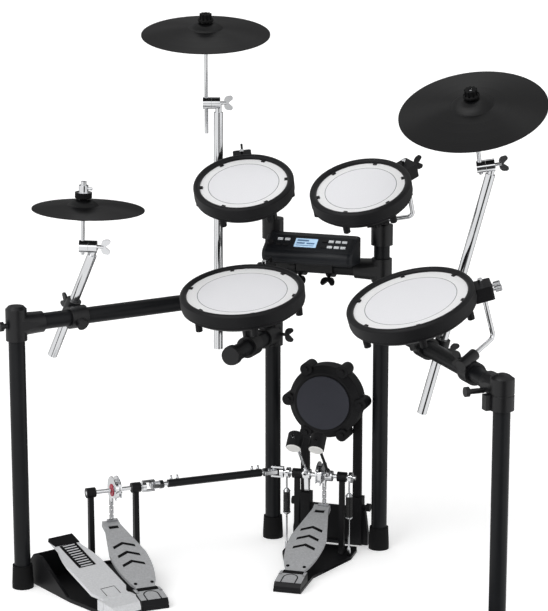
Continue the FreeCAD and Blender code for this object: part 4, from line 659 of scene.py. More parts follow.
@dataclass
class Board:
    """A footboard's own directions, measured from its hinge."""

    hinge: Vector
    across: Vector
    along: Vector
    out: Vector
    top: float
    length: float
    least_rise: float = 0.5
    hinge_share: float = 1 / 6

    @classmethod
    def of_pedal(cls, pedal: Pedals) -> "Board":
        """Measure a footboard.

        Args:
            pedal: The pedal that it belongs to.

        Returns:
            Its directions, the height of its widest face over the hinge and its length.
        """
        node = pedal.value + "_footboard"
        hinge, across = joint_line(pedal.value + "_press")
        points = corner_points(node)
        if across.x < 0:
            across = -across
        middle = sum(points, Vector()) / len(points)
        along = middle - hinge
        along = (along - across * along.dot(across)).normalized()
        upper = [p for p in node_object(node).data.polygons if p.normal.z > cls.least_rise]
        largest = max(upper, key=lambda p: p.area)
        out = largest.normal.copy()
        along = (along - out * along.dot(out)).normalized()
        top = (largest.center - hinge).dot(out)
        length = max((p - hinge).dot(along) for p in points)
        return cls(hinge, across, along, out, top, length)

    def spot(self, across_mm: float, along: float, over_mm: float) -> Vector:
        """Return a point by its distances in millimetres and its way along in metres."""
        level = self.out * (self.top + over_mm * MM)
        return self.hinge + self.across * across_mm * MM + self.along * along + level

    def plate(self, builder: Builder, along: float, over_mm: float, size: Triple) -> None:
        """Build a box on the board, in the middle across it.

        Args:
            builder: The mesh under construction.
            along: Where it starts, from the hinge.
            over_mm: The height of its first face over the board's widest face.
            size: Its width and length, and how far it goes on from its first face.
        """
        wide, deep, thick = size
        corner = self.spot(-wide / 2 / MM, along, over_mm)
        slab(builder, corner, (self.across * wide, self.along * deep, self.out * thick))

    def at_hinge(self, patch: Patch, reach_mm: float) -> bool:
        """Tell whether a face lies on the hinge's barrel."""
        return off_axis(patch.centre - self.hinge, self.across) < reach_mm * MM

    def below(self, patch: Patch, low_mm: float, high_mm: float) -> bool:
        """Tell whether a face past the hinge lies between two levels.

        Args:
            patch: The face.
            low_mm: The lower level, counted from the board's widest face.
            high_mm: The upper level.

        Returns:
            True if it does.
        """
        arm = patch.centre - self.hinge
        level = (arm.dot(self.out) - self.top) / MM
        return low_mm < level < high_mm and arm.dot(self.along) > self.length * self.hinge_share


@dataclass
class Disc:
    """A round node: its middle, its axis on the upper side and its radius."""

    centre: Vector
    axis: Vector
    radius: float

    @classmethod
    def of_rim(cls, name: str, rim_share: float) -> "Disc":
        """Measure a round node by its rim.

        Args:
            name: The node.
            rim_share: Where the rim starts, as a share of the node's reach.

        Returns:
            The disc through its middle.
        """
        points = corner_points(name)
        middle = sum(points, Vector()) / len(points)
        arms = [p - middle for p in points]
        far = max(arms, key=lambda arm: arm.length)
        way = far.normalized()
        rim = [arm for arm in arms if arm.length > rim_share * far.length]
        axis = way.cross(max(rim, key=lambda arm: arm.cross(way).length)).normalized()
        return cls(middle, axis if axis.z > 0 else -axis, far.length)

    @classmethod
    def of_top(cls, name: str) -> "Disc":
        """Measure the upper face of a flat round node.

        Args:
            name: The node.

        Returns:
            The disc of that face.
        """
        disc = cls.of_rim(name, 0.0)
        arms = [p - disc.centre for p in corner_points(name)]
        top = max(arm.dot(disc.axis) for arm in arms)
        radius = max(off_axis(arm, disc.axis) for arm in arms)
        return cls(disc.centre + disc.axis * top, disc.axis, radius)


# Sub-assemblies


@dataclass
class Rack:
    """Pipes, moulded clamps and rubber feet."""

    pipes: tuple[str, ...] = ("center_tubes", "left_tubes", "right_tubes")
    clamps: tuple[str, ...] = ("center_clamps", "left_clamps", "right_clamps")
    feet: tuple[str, ...] = ("center_feet", "left_foot", "right_foot")

    def dress(self) -> None:
        """Finish the pipes, clamps and feet."""
        for names, finish in ((self.pipes, PIPE_COAT), (self.clamps, CLAMP_NYLON), (self.feet, FOOT_RUBBER)):
            for name in names:
                dress_node(name, finish)


@dataclass
class Pad:
    """One drum pad with its mesh head.

    The head's zones, from the middle out, have a name, a colour and how much darker their hollows are.
    """

    which: Pads
    # Polyester mesh: white threads, a touch greyer inside the printed ring, with the ring's thin grey line.
    zones: tuple[tuple[str, str, float], ...] = (
        ("centre", "#EDEDF0", 0.14),
        ("ring", "#7E7F83", 0.1),
        ("white", "#F1F1F2", 0.16),
    )
    print_ring_share: float = 0.79
    print_ring_mm: float = 1.5
    head_rings: int = 14
    outer_shares: Triple = (0.35, 0.7, 1.0)
    head_steps: int = 96

    def dress(self) -> None:
        """Finish shell, hoop and rod."""
        name = self.which.value
        knobs = ((ZINC, lambda patch: patch.island > 0),) if self.which is Pads.FLOOR_TOM else ()
        dress_node(name + "_shell", SHELL_ABS, knobs)
        dress_node(name + "_hoop", HOOP_RUBBER)
        dress_node(name + "_rod", CHROME)

    def build(self) -> None:
        """Stretch the woven head in place of its plain disc."""
        name = self.which.value
        disc = Disc.of_top(name + "_head")
        turn = axes_to(disc.axis, disc.centre)
        across, along = (tuple(turn.to_3x3() @ Vector(way)) for way in ((1, 0, 0), (0, 1, 0)))
        weaves = [
            Woven(f"{name}_mesh_{zone}", colour, 0.8, 1.0, 0.12, mottle=depth, across=across, along=along)
            for zone, colour, depth in self.zones
        ]
        line = disc.radius * self.print_ring_share
        half = self.print_ring_mm * MM / 2
        radii = [line * step / self.head_rings for step in range(1, self.head_rings)]
        radii += [line - half, line + half]
        radii += [line + half + (disc.radius - line - half) * share for share in self.outer_shares]
        builder = bmesh.new()
        self.head_faces(builder, turn, radii, line)
        head = new_piece(name + "_mesh_head", name + "_pad", weaves, builder)
        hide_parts(name + "_head")

    def head_faces(self, builder: Builder, turn: Matrix, radii: list[float], line: float) -> None:
        """Lay the head's rings of faces.

        Args:
            builder: The mesh under construction.
            turn: The head's frame.
            radii: Radii of the rings, from the middle out.
            line: Radius of the printed line's middle.
        """
        before = circle(builder, turn, 0.0, 0.0, self.head_steps)
        inside = 0.0
        for radius in radii:
            loop = circle(builder, turn, radius, 0.0, self.head_steps)
            zone = 0 if radius < line else 1 if inside < line else 2
            bridge(builder, loop, before, zone)
            before = loop
            inside = radius


@dataclass
class CymbalStand:
    """A rubber cymbal, its rod, nut and boom pipe."""

    which: Cymbals
    rim_share: float = 0.9
    washer_mm: float = 13.5
    nut_island: int = 1
    rod_mm: float = 9.6
    seat_mm: float = 20.5

    def dress(self) -> None:
        """Finish boom, rod, nut and cymbal."""
        name = self.which.value
        dress_node(name + "_boom", CHROME)
        disc = Disc.of_rim(name + "_cymbal", self.rim_share)
        # Moulded rubber skin of the cymbal: dull charcoal with faint turned rings, which are drawn about
        # three times coarser than the real ones, to show.
        skin = Ridged(
            name + "_cymbal_rubber", "#0C0C0D", 0.4, 1.1, 0.05, mottle=0.15, specular=0.25,
            centre=tuple(disc.centre), axis=tuple(disc.axis), ring_mm=5.0, fan=0.9,
        )
        dress_node(name + "_cymbal", skin)
        black = ((FOOT_RUBBER, self.nut_test(disc.axis)), (CLAMP_NYLON, self.seat_test(disc.axis)))
        dress_node(name + "_rod", CHROME, black)

    def seat_test(self, axis: Vector) -> Test:
        """Tell which faces of the rod's node are the moulded seat that the cymbal rocks on.

        Args:
            axis: The rod's direction.

        Returns:
            A test that is true for the seat and its sleeve.
        """
        hub, _ = joint_line(self.which.value + "_swing")

        def is_seat(patch: Patch) -> bool:
            """Tell whether a face stands out from the thin rod, close to the cymbal's hub.

            Args:
                patch: The face.

            Returns:
                True if it does.
            """
            arm = patch.centre - hub
            wide = off_axis(arm, axis) > self.rod_mm / 2 * MM
            return patch.island == 0 and wide and abs(arm.dot(axis)) < self.seat_mm * MM

        return is_seat

    def nut_test(self, axis: Vector) -> Test:
        """Tell which faces of the rod's node are black rubber.

        Args:
            axis: The rod's direction.

        Returns:
            A test that is true for the nut, or for the washer under the hi-hat's clutch.
        """
        if self.which is not Cymbals.HIHAT:
            return lambda patch: patch.island == self.nut_island
        mesh = node_object(self.which.value + "_rod").data
        numbers = islands_of(mesh)
        heights = [p.center.dot(axis) for p, n in zip(mesh.polygons, numbers) if n == self.nut_island]
        level = min(heights) + self.washer_mm * MM
        return lambda patch: patch.island == self.nut_island and patch.centre.dot(axis) < level


@dataclass
class SoundModule:
    """Charcoal sound module with its display, keys, knob and bracket."""

    print_mm: float = 0.15
    plane_mm: float = 0.1
    face_lean: float = 0.2
    lit_from_share: float = 0.72
    left_group_share: float = 0.25
    bars: tuple[tuple[float, float, float, float], ...] = (
        (0.08, 0.66, 0.62, 0.86),
        (0.08, 0.34, 0.46, 0.52),
        (0.54, 0.34, 0.9, 0.52),
        (0.08, 0.12, 0.9, 0.2),
    )

    def dress(self) -> None:
        """Finish case, display, keys, knob and bracket."""
        dress_node("module_case", MODULE_ABS)
        dress_node("module_bracket", CLAMP_NYLON)
        dress_node("module_knob", DARK_KEY)
        dress_node("module_screen", DISPLAY)
        low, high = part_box("module_keys")
        middle = (low.z + high.z) / 2

        def is_lit(patch: Patch) -> bool:
            """Tell whether a key has its lamp on: the right columns and the upper left pair."""
            share = (patch.centre.x - low.x) / (high.x - low.x)
            return share > self.lit_from_share or (share < self.left_group_share and patch.centre.z > middle)

        dress_node("module_keys", DARK_KEY, ((LIT_KEY, is_lit),))

    def build(self) -> None:
        """Print plain bars on the display."""
        lean = self.face_lean
        faces = node_object("module_screen").data.polygons
        fronts = [p for p in faces if p.normal.y < -lean and p.normal.z > lean]
        face = max(fronts, key=lambda p: p.area)
        out = face.normal.copy()
        right = Vector((1, 0, 0))
        up = out.cross(right)
        points = corner_points("module_screen")
        spots = [p for p in points if abs((p - face.center).dot(out)) < self.plane_mm * MM]
        base = min(spots, key=lambda p: p.x + p.dot(up))
        width = max((p - base).dot(right) for p in spots)
        height = max((p - base).dot(up) for p in spots)
        builder = bmesh.new()
        for x0, y0, x1, y1 in self.bars:
            corner = base + right * width * x0 + up * height * y0
            sides = (right * width * (x1 - x0), up * height * (y1 - y0), out * self.print_mm * MM)
            slab(builder, corner, sides)
        new_piece("display_bars", "module", [DISPLAY_INK], builder)


@dataclass
class KickPad:
    """Kick pad with its rubber face, housing and floor stand."""

    def dress(self) -> None:
        """Finish housing, face and stand."""
        dress_node("kick_pad_housing", SHELL_ABS)
        dress_node("kick_pad_face", KICK_RUBBER)
        dress_node("kick_stand", PEDAL_IRON)


@dataclass
class BassPedals:
    """Kick pedal, slave pedal and the shaft between them, with springs and beaters."""

    pair: tuple[Pedals, ...] = (Pedals.KICK, Pedals.SLAVE)
    iron: tuple[str, ...] = ("pedal_base_plates", "pedal_posts", "hihat_pedal_base")
    axles: tuple[str, ...] = ("kick_axle", "slave_axle", "left_beater_axle")
    links: tuple[str, ...] = ("kick_chain", "slave_chain", "right_spring_hook", "left_spring_hook")
    felt_depth_mm: float = 1.5
    # Levels of the chevron grooves under a footboard's face, and the reach of its hinge's barrel.
    groove_mm: tuple[float, float] = (-2.0, -0.1)
    barrel_mm: float = 8.2
    # Width, length and thickness of the black plate under a footboard's toe slot: painted shade, for the dark
    # seen through the slot.
    slot_shade_plate_mm: Triple = (26.0, 15.0, 2.0)
    slot_from_toe_mm: float = 35.0
    slot_shade_sunk_mm: float = 1.5
    # Radius and height of a bolt, and its profile in shares of them.
    bolt_mm: tuple[float, float] = (4.2, 1.6)
    bolt_profile: Shares = ((0, 0), (1, 0), (1, 0.6), (0.7, 1), (0, 1))
    bolt_steps: int = 16
    bolt_sunk_mm: float = 0.2
    bolt_spread_mm: float = 20.0
    bolt_from_hinge_mm: float = 25.0
    # Radius, line width and rise of a heel plate's arch.
    arch_mm: Triple = (17.0, 2.8, 0.3)
    arch_inset_mm: float = 3.0
    arch_steps: int = 14
    heel_top_rise: float = 0.8
    heel_plane_mm: float = 0.05
    heel_reach: float = 2.0
    # Bore, rim and thickness of the cam's disc.
    cam_disc_mm: Triple = (5.6, 15.0, 1.6)
    cam_bevel: float = 0.3
    cam_rim_share: float = 0.9
    cam_steps: int = 40
    key_bolt_mm: tuple[float, float] = (3.4, 10.0)
    key_bolt_profile: Shares = ((0, 0), (1, 0), (1, 0.4), (0.7, 0.45), (0.7, 1), (0, 1))
    key_bolt_steps: int = 12
    key_bolt_sunk_mm: float = 0.3
    key_bolt_shares: tuple[float, ...] = (0.035, 0.1, 0.9, 0.965)
    # The drive shaft's outer tube, and how far from the axis, in shares of its width, black faces lie.
    tube_mm: float = 19.0
    tube_slack_mm: float = 0.005
    black_from: float = 1 / 3
    black_to: float = 0.54
    hub_reach_mm: float = 20.0
    fork_mm: float = 28.0
    spring_turns: int = 18
    spring_wire_mm: float = 2.5
    wire_sides: int = 10
    steps_per_turn: int = 20
    # A spring's foot: shares of the cup's radius and the foot's height, below and above its rod.
    foot_lower: Shares = ((0, 0), (0.46, 0), (0.46, 0.2))
    foot_upper: Shares = ((0.55, 0.94), (1, 0.985), (1, 1), (0, 1))
    foot_rod_shares: tuple[float, float] = (0.22, 0.93)
    foot_rod_mm: float = 4.5
    foot_steps: int = 28

    def dress(self) -> None:
        """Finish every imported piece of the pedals."""
        for names, finish in ((self.iron, PEDAL_IRON), (self.axles, CHROME), (self.links, ZINC)):
            for name in names:
                dress_node(name, finish)
        for pedal in self.pair:
            self.dress_board(pedal)
        self.dress_heels()
        self.dress_shaft()
        for name, rod in (("right_beater", PEDAL_IRON), ("left_beater", CHROME)):
            self.dress_beater(name, rod)

    def dress_board(self, pedal: Pedals) -> None:
        """Finish a footboard: grey alloy with black grooves and a black hinge.

        Args:
            pedal: The pedal that it belongs to.
        """
        board = Board.of_pedal(pedal)

        def is_black(patch: Patch) -> bool:
            """Tell whether a face is in a groove or on the hinge's barrel."""
            return board.below(patch, *self.groove_mm) or board.at_hinge(patch, self.barrel_mm)

        dress_node(pedal.value + "_footboard", BOARD_ALLOY, ((BLACK_PAINT_AND_SLOT_SHADE, is_black),))

    def dress_heels(self) -> None:
        """Finish the heel plates: grey tops with dark edges, and the hi-hat's all silver."""
        mesh = node_object("heel_plates").data
        hinge, _ = joint_line("hihat_press")
        pairs = zip(mesh.polygons, islands_of(mesh))
        silver = min(pairs, key=lambda pair: (pair[0].center - hinge).length)[1]
        edges = (PEDAL_IRON, lambda patch: patch.normal.z < self.heel_top_rise)
        dress_node("heel_plates", BOARD_ALLOY, (edges, (HIHAT_ALLOY, lambda patch: patch.island == silver)))

    def dress_shaft(self) -> None:
        """Finish the drive shaft: chrome forks and rod, black outer tube and fork hubs."""
        middle, way = joint_line("drive_shaft_turn")
        low, high = self.tube_span()
        hub = self.hub_reach_mm * MM

        def in_tube(patch: Patch) -> bool:
            """Tell whether a face belongs to the black outer tube or to a fork's hub.

            Args:
                patch: The face.

            Returns:
                True if it does.
            """
            arm = patch.centre - middle
            share = off_axis(arm, way) / (self.tube_mm * MM)
            return low - hub < arm.dot(way) < high + hub and self.black_from < share < self.black_to

        dress_node("drive_shaft", CHROME, ((PIPE_COAT, in_tube),))

    def tube_span(self) -> tuple[float, float]:
        """Measure where the drive shaft's outer tube starts and ends.

        Returns:
            Both places along the shaft's joint axis.
        """
        middle, way = joint_line("drive_shaft_turn")
        arms = [p - middle for p in corner_points("drive_shaft")]
        radius = self.tube_mm / 2 * MM
        first = min(a.dot(way) for a in arms) + self.fork_mm * MM
        last = max(a.dot(way) for a in arms) - self.fork_mm * MM
        round_arms = [a for a in arms if abs(off_axis(a, way) - radius) < self.tube_slack_mm * MM]
        spots = [a.dot(way) for a in round_arms if first < a.dot(way) < last]
        return min(spots), max(spots)

    def dress_beater(self, name: str, rod: Finish) -> None:
        """Finish a beater: its rod, black head and white rear face.

        Args:
            name: The beater's node.
            rod: The finish of its rod.
        """
        mesh = node_object(name).data
        heads = [p for p, n in zip(mesh.polygons, islands_of(mesh)) if n == 0]
        flat = max(heads, key=lambda p: p.area if p.normal.y < 0 else 0)
        back = flat.normal.copy()
        rear = max(p.center.dot(back) for p in heads)

        def is_rear(patch: Patch) -> bool:
            """Tell whether a face is on the beater's felt side."""
            return patch.island == 0 and patch.centre.dot(back) > rear - self.felt_depth_mm * MM

        dress_node(name, rod, ((BEATER_RUBBER, lambda p: p.island == 0), (WHITE_FELT, is_rear)))

    def build(self) -> None:
        """Add the small fittings and the painted shade under the toe slots, and wind the return springs."""
        for pedal in self.pair:
            self.build_board_bolts_and_slot_shade(pedal)
        self.build_heel_arches()
        self.build_cam_disc()
        self.build_key_bolts()
        self.build_springs()

    def build_board_bolts_and_slot_shade(self, pedal: Pedals) -> None:
        """Put painted shade under a footboard's toe slot as a black plate, and bolt its hinge end.

        Args:
            pedal: The pedal that it belongs to.
        """
        side = pedal.value
        board = Board.of_pedal(pedal)
        builder = bmesh.new()
        wide, deep, thick = (s * MM for s in self.slot_shade_plate_mm)
        start = board.length - self.slot_from_toe_mm * MM
        # A black plate under the toe slot: painted shade, for the dark seen through the slot.
        board.plate(builder, start, -self.slot_shade_sunk_mm, (wide, deep, -thick))
        profile = scaled(self.bolt_profile, *(s * MM for s in self.bolt_mm))
        for sign in (-1, 1):
            foot = board.spot(sign * self.bolt_spread_mm, self.bolt_from_hinge_mm * MM, -self.bolt_sunk_mm)
            turned(builder, profile, axes_to(board.out, foot), self.bolt_steps)
        new_piece(side + "_board_bolts_and_slot_shade", side + "_board", [BLACK_PAINT_AND_SLOT_SHADE], builder)

    def build_heel_arches(self) -> None:
        """Inlay a plain round arch in the top of each bass pedal's heel plate."""
        mesh = node_object("heel_plates").data
        tops = [p for p in mesh.polygons if p.normal.z > self.heel_top_rise]
        radius, width, height = (s * MM for s in self.arch_mm)
        turns = [math.pi * step / self.arch_steps for step in range(self.arch_steps + 1)]
        builder = bmesh.new()
        for pedal in self.pair:
            board = Board.of_pedal(pedal)
            near = min(tops, key=lambda p: (p.center - board.hinge).length - math.sqrt(p.area))
            out = near.normal.copy()
            back = out.cross(board.across).normalized()
            back = back if back.dot(board.along) < 0 else -back
            level = (near.center - board.hinge).dot(out)
            reach = self.heel_reach * math.sqrt(near.area)
            spots = [v.co - board.hinge for v in mesh.vertices if (v.co - near.center).length < reach]
            flat = [s.dot(back) for s in spots if abs(s.dot(out) - level) < self.heel_plane_mm * MM]
            end = max(flat)
            start = min(flat) + radius + self.arch_inset_mm * MM
            arch = [(radius * math.cos(turn), start - radius * math.sin(turn)) for turn in turns]
            arch = [(radius, end), *arch, (-radius, end)]
            path = [board.hinge + board.across * x + back * y + out * level for x, y in arch]
            ribbon(builder, path, out, width, height)
        new_piece("heel_arches", "rack", [BLACK_PAINT_AND_SLOT_SHADE], builder)

    def build_cam_disc(self) -> None:
        """Put the red disc on the outer face of the left pedal's cam."""
        middle, axis = joint_line("slave_axle_turn")
        if axis.x > 0:
            axis = -axis
        arms = [p - middle for p in corner_points("slave_axle")]
        reach = max(off_axis(a, axis) for a in arms)
        face = max(a.dot(axis) for a in arms if off_axis(a, axis) > self.cam_rim_share * reach)
        bore, rim, thick = (s * MM for s in self.cam_disc_mm)
        bevel = thick * self.cam_bevel
        edge = [(rim, 0), (rim, thick - bevel), (rim - bevel, thick)]
        builder = bmesh.new()
        place = axes_to(axis, middle + axis * face)
        turned(builder, [(bore, 0), *edge, (bore, thick), (bore, 0)], place, self.cam_steps)
        new_piece("red_cam_disc", "slave_shaft", [CAM_RED], builder)

    def build_key_bolts(self) -> None:
        """Stand the key bolts on the drive shaft's tube."""
        middle, way = joint_line("drive_shaft_turn")
        low, high = self.tube_span()
        up = way.cross(UP.cross(way)).normalized()
        sunk = (self.tube_mm / 2 - self.key_bolt_sunk_mm) * MM
        profile = scaled(self.key_bolt_profile, *(s * MM for s in self.key_bolt_mm))
        builder = bmesh.new()
        for share in self.key_bolt_shares:
            foot = middle + way * (low + (high - low) * share) + up * sunk
            turned(builder, profile, axes_to(up, foot), self.key_bolt_steps)
        new_piece("drive_shaft_key_bolts", "drive", [ZINC], builder)

    def build_springs(self) -> None:
        """Sort the solids of the return springs by side and height, and build each spring."""
        mesh = node_object("return_springs").data
        solids: dict[int, list[Vector]] = {}
        for polygon, number in zip(mesh.polygons, islands_of(mesh)):
            solids.setdefault(number, []).extend(mesh.vertices[i].co.copy() for i in polygon.vertices)
        middle = sum((sum(p, Vector()) / len(p) for p in solids.values()), Vector()) / len(solids)
        for side in Side:
            own = [p for p in solids.values() if (p[0].x < middle.x) == (side is Side.LEFT)]
            own.sort(key=lambda p: -min(v.z for v in p))
            self.build_coil(side, own[0])
            self.build_foot(side, own[0], own[1])

    def build_coil(self, side: Side, coil: list[Vector]) -> None:
        """Wind one spring in place of its solid.

        Args:
            side: Which spring.
            coil: Corner points of its coil's solid.
        """
        low, high = box_of(coil)
        centre = (low + high) / 2
        wire = self.spring_wire_mm * MM / 2
        radius = (high.x - low.x) / 2 - wire
        floor = Vector((centre.x, centre.y, low.z + wire))
        rise = high.z - low.z - 2 * wire
        builder = bmesh.new()
        self.wind(builder, floor, radius, rise, wire)
        piece = new_piece(side.value + "_spring_coil", "", [SPRING_STEEL], builder)
        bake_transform(piece)
        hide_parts("return_springs")

    def build_foot(self, side: Side, coil: list[Vector], lower: list[Vector]) -> None:
        """Turn a spring's lower cup and rod, under the middle of its coil.

        Args:
            side: Which spring.
            coil: Corner points of its coil's solid.
            lower: Corner points of the solid under it.
        """
        centre = sum(box_of(coil), Vector()) / 2
        low, high = box_of(lower)
        cup, height = (high.x - low.x) / 2, high.z - low.z
        profile = scaled(self.foot_lower, cup, height)
        profile += [(self.foot_rod_mm / 2 * MM, height * share) for share in self.foot_rod_shares]
        profile += scaled(self.foot_upper, cup, height)
        builder = bmesh.new()
        turned(builder, profile, Matrix.Translation((centre.x, centre.y, low.z)), self.foot_steps)
        piece = new_piece(side.value + "_spring_foot", "rack", [ZINC], builder)
        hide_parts("return_springs")

    def wind(self, builder: Builder, floor: Vector, radius: float, rise: float, wire: float) -> None:
        """Sweep a round wire along a helix.

        Args:
            builder: The mesh under construction.
            floor: Middle of the helix's lower end.
            radius: The helix's radius.
            rise: Its height.
            wire: The wire's radius.
        """
        count = self.spring_turns * self.steps_per_turn
        turns = [math.tau * side / self.wire_sides for side in range(self.wire_sides)]
        before: list[Corner] = []
        for step in range(count + 1):
            angle = math.tau * step / self.steps_per_turn
            out = Vector((math.cos(angle), math.sin(angle), 0))
            spot = floor + out * radius + Vector((0, 0, rise * step / count))
            arms = [out * wire * math.cos(turn) + Vector((0, 0, wire * math.sin(turn))) for turn in turns]
            loop = [builder.verts.new(spot + arm) for arm in arms]
            if before:
                bridge(builder, before, loop)
            if step in (0, count):
                builder.faces.new(loop)
            before = loop


@dataclass
class HihatPedal:
    """Hi-hat pedal's footboard: silver with a black toe cap, a grip mat with bars and a door's outline."""

    # Levels of the toe cap's top and of the recess, counted from the board's widest face.
    cap_mm: tuple[float, float] = (1.0, 1.7)
    recess_mm: tuple[float, float] = (-2.5, -0.05)
    # Width and rise of the mat, and where it starts and ends along the board.
    mat_mm: tuple[float, float] = (45.4, 0.6)
    mat_shares: tuple[float, float] = (0.5, 0.86)
    # Width, length and rise of a grip bar.
    grip_mm: Triple = (31.0, 3.2, 0.5)
    grip_count: int = 10
    # Half the width of the door over the hinge and its two ends along the board; its line's width and rise.
    door_mm: Triple = (18.0, 10.0, 38.0)
    door_line_mm: tuple[float, float] = (1.8, 0.3)

    def dress(self) -> None:
        """Finish the footboard."""
        board = Board.of_pedal(Pedals.HIHAT)

        def is_black(patch: Patch) -> bool:
            """Tell whether a face is on the toe cap or in the recess."""
            return board.below(patch, *self.cap_mm) or board.below(patch, *self.recess_mm)

        dress_node("hihat_footboard", HIHAT_ALLOY, ((BLACK_PAINT_AND_SLOT_SHADE, is_black),))

    def build(self) -> None:
        """Lay the black mat with slim silver grip bars on it, and draw the door's outline."""
        board = Board.of_pedal(Pedals.HIHAT)
        start, stop = (board.length * share for share in self.mat_shares)
        builder = bmesh.new()
        width, rise = self.mat_mm
        board.plate(builder, start, 0.0, (width * MM, stop - start, rise * MM))
        new_piece("grip_mat", "hihat_board", [BLACK_PAINT_AND_SLOT_SHADE], builder)
        builder = bmesh.new()
        wide, deep, thick = (s * MM for s in self.grip_mm)
        pitch = (stop - start) / self.grip_count
        for number in range(self.grip_count):
            board.plate(builder, start + pitch * (number + 0.5) - deep / 2, rise, (wide, deep, thick))
        new_piece("grip_bars", "hihat_board", [HIHAT_ALLOY], builder)
        builder = bmesh.new()
        half, low, high = self.door_mm
        corners = ((-half, low), (-half, high), (half, high), (half, low))
        path = [board.spot(x, y * MM, 0.0) for x, y in corners]
        ribbon(builder, path, board.out, *(s * MM for s in self.door_line_mm))
        new_piece("hihat_door_outline", "hihat_board", [BLACK_PAINT_AND_SLOT_SHADE], builder)


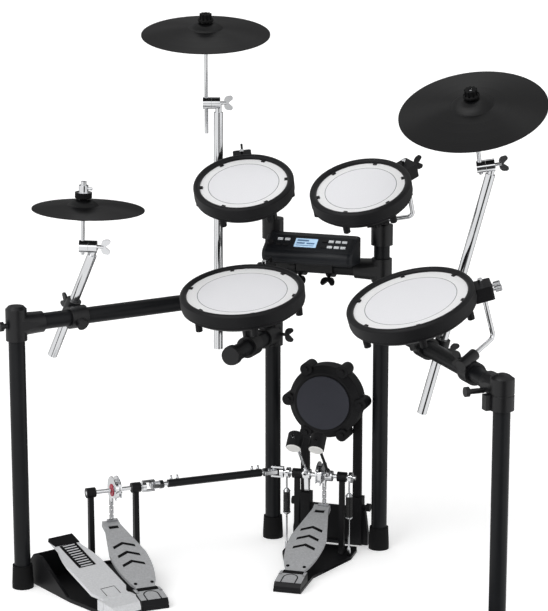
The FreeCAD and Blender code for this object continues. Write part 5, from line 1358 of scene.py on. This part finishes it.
@dataclass
class Studio:
    """Pale floor, soft light and the photograph's camera."""

    camera_mm: Triple = (1568.9, -4951.3, 1751.0)
    camera_turn: float = 18.986
    camera_pitch: float = 12.503
    focal_pixels: float = 2200.0
    picture_height: float = 611.0
    sensor_mm: float = 36.0
    sight: float = 100.0
    floor_size: float = 60.0
    floor_colour: str = "#F8F8F8"
    floor_roughness: float = 0.9
    floor_glow: float = 0.32
    floor_mirrored: float = 0.95
    sky_light: float = 0.62
    # Name, lean and roll in degrees, strength and spread in degrees of each lamp.
    lamps: tuple[tuple[str, float, float, float, float], ...] = (
        ("key_light", 38.0, -24.0, 1.15, 40.0),
        ("fill_light", 48.0, 36.0, 0.5, 60.0),
    )
    behind: float = 0.1
    walls: Shares = (
        (0.1, 0.15), (0.17, 0.6), (0.28, 0.85), (0.3, 1.0), (0.54, 1.0), (0.555, 0.04),
        (0.63, 0.04), (0.645, 1.0), (0.82, 1.0), (0.85, 0.6), (0.93, 0.2),
    )
    overhead: float = 0.6
    overhead_rise: tuple[float, float] = (0.35, 0.7)

    def build(self) -> None:
        """Set up camera, floor, lamps and world."""
        self.build_camera()
        self.build_floor()
        self.build_lamps()
        self.build_world()
        bpy.context.scene.view_settings.view_transform = "Standard"

    def build_camera(self) -> None:
        """Put the camera where the photograph was taken, measured from the rack's middle."""
        data = bpy.data.cameras.new("photo_camera")
        data.sensor_width = self.sensor_mm
        data.lens = self.focal_pixels * self.sensor_mm / self.picture_height
        data.clip_end = self.sight
        camera = bpy.data.objects.new("photo_camera", data)
        camera.location = self.kit_middle() + Vector(self.camera_mm) * MM
        camera.rotation_euler = (math.radians(90 - self.camera_pitch), 0, math.radians(self.camera_turn))
        bpy.context.scene.collection.objects.link(camera)
        bpy.context.scene.camera = camera

    def kit_middle(self) -> Vector:
        """Find the point of the floor between the two middle feet.

        Returns:
            The point.
        """
        low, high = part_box("center_feet")
        middle = (low + high) / 2
        return Vector((middle.x, middle.y, 0))

    def build_floor(self) -> None:
        half = self.floor_size / 2
        builder = bmesh.new()
        corners = ((-half, -half), (half, -half), (half, half), (-half, half))
        builder.faces.new([builder.verts.new((x, y, 0)) for x, y in corners])
        mesh = bpy.data.meshes.new("studio_floor")
        builder.to_mesh(mesh)
        builder.free()
        mesh.materials.append(self.paper())
        floor = bpy.data.objects.new("studio_floor", mesh)
        bpy.context.scene.collection.objects.link(floor)

    def paper(self) -> bpy.types.Material:
        """Make the floor's white paper, which glows a little to the eye and shows metal the room's streaks.

        Returns:
            The material.
        """
        made = bpy.data.materials.new("white_paper")
        made.use_nodes = True
        tree = made.node_tree
        shader = tree.nodes["Principled BSDF"]
        shader.inputs["Base Color"].default_value = linear(self.floor_colour)
        shader.inputs["Roughness"].default_value = self.floor_roughness
        rays = add_node(tree, "ShaderNodeLightPath", {})
        seen = {0: rays.outputs["Is Camera Ray"], 1: self.floor_glow}
        glow = add_node(tree, "ShaderNodeMath", seen, operation="MULTIPLY")
        shader.inputs["Emission Color"].default_value = WHITE
        tree.links.new(glow.outputs[0], shader.inputs["Emission Strength"])
        place = add_node(tree, "ShaderNodeTexCoord", {})
        ends = {0: place.outputs["Object"], 1: self.kit_middle()}
        arm = add_node(tree, "ShaderNodeVectorMath", ends, operation="SUBTRACT")
        streaks = self.build_walls(tree, arm.outputs["Vector"])
        grey = add_node(tree, "ShaderNodeEmission", {"Color": streaks, "Strength": self.floor_mirrored})
        both = {0: rays.outputs["Is Glossy Ray"], 1: shader.outputs[0], 2: grey.outputs[0]}
        shown = add_node(tree, "ShaderNodeMixShader", both)
        tree.links.new(shown.outputs[0], tree.nodes["Material Output"].inputs["Surface"])
        return made

    def build_lamps(self) -> None:
        """Hang a soft key light on the left and a weaker one on the right."""
        for name, lean, roll, strength, spread in self.lamps:
            data = bpy.data.lights.new(name, "SUN")
            data.energy = strength
            data.angle = math.radians(spread)
            lamp = bpy.data.objects.new(name, data)
            lamp.rotation_euler = (math.radians(lean), math.radians(roll), 0)
            bpy.context.scene.collection.objects.link(lamp)

    def build_world(self) -> None:
        """Fill the room with even light; the eye sees white, and bright metal sees walls and dark screens."""
        world = bpy.data.worlds.new("studio_world")
        world.use_nodes = True
        bpy.context.scene.world = world
        tree = world.node_tree
        tree.nodes.clear()
        rays = add_node(tree, "ShaderNodeLightPath", {})
        even = add_node(tree, "ShaderNodeBackground", {"Color": WHITE, "Strength": self.sky_light})
        white = add_node(tree, "ShaderNodeBackground", {"Color": WHITE, "Strength": 1.0})
        way = add_node(tree, "ShaderNodeTexCoord", {})
        walls = self.build_walls(tree, way.outputs["Generated"])
        mirror = add_node(tree, "ShaderNodeBackground", {"Color": walls, "Strength": 1.0})
        both = {0: rays.outputs["Is Glossy Ray"], 1: even.outputs[0], 2: mirror.outputs[0]}
        glossy = add_node(tree, "ShaderNodeMixShader", both)
        straight = {0: rays.outputs["Is Camera Ray"], 1: rays.outputs["Is Transmission Ray"]}
        plain = add_node(tree, "ShaderNodeMath", straight, operation="MAXIMUM")
        both = {0: plain.outputs[0], 1: glossy.outputs[0], 2: white.outputs[0]}
        shown = add_node(tree, "ShaderNodeMixShader", both)
        add_node(tree, "ShaderNodeOutputWorld", {"Surface": shown.outputs[0]})

    def build_walls(self, tree: Tree, way: Socket) -> Socket:
        """Args:
            tree: The world's or the floor's node tree.

        Returns:
            The colour in each direction.
        """
        split = add_node(tree, "ShaderNodeSeparateXYZ", {"Vector": way})
        front = add_node(tree, "ShaderNodeMath", {0: split.outputs["Y"], 1: -1.0}, operation="MULTIPLY")
        sides = {0: split.outputs["X"], 1: front.outputs[0]}
        angle = add_node(tree, "ShaderNodeMath", sides, operation="ARCTAN2")
        span = {"Value": angle.outputs[0], "From Min": -math.pi, "From Max": math.pi}
        turn = add_node(tree, "ShaderNodeMapRange", span)
        screens = add_node(tree, "ShaderNodeValToRGB", {"Fac": turn.outputs["Result"]})
        ramp = screens.color_ramp
        for element, spot in zip(ramp.elements, (0.0, 1.0)):
            element.position = spot
            element.color = (self.behind,) * 3 + (1.0,)
        for spot, shade in self.walls:
            ramp.elements.new(spot).color = (shade, shade, shade, 1)
        least, most = self.overhead_rise
        span = {"Value": split.outputs["Z"], "From Min": least, "From Max": most}
        rise = add_node(tree, "ShaderNodeMapRange", span)
        ceiling = (self.overhead,) * 3 + (1.0,)
        tones = {"Factor": rise.outputs["Result"], "A": screens.outputs["Color"], "B": ceiling}
        room = add_node(tree, "ShaderNodeMix", tones, data_type="RGBA")
        return room.outputs["Result"]


def main() -> None:
    logging.basicConfig(level=logging.INFO, format="%(message)s")
    Rack().dress()
    for which in Pads:
        pad = Pad(which)
        pad.dress()
        pad.build()
    for which in Cymbals:
        CymbalStand(which).dress()
    module = SoundModule()
    module.dress()
    module.build()
    KickPad().dress()
    pedals = BassPedals()
    pedals.dress()
    pedals.build()
    hihat_pedal = HihatPedal()
    hihat_pedal.dress()
    hihat_pedal.build()
    Studio().build()


if __name__ == "__main__":
    main()
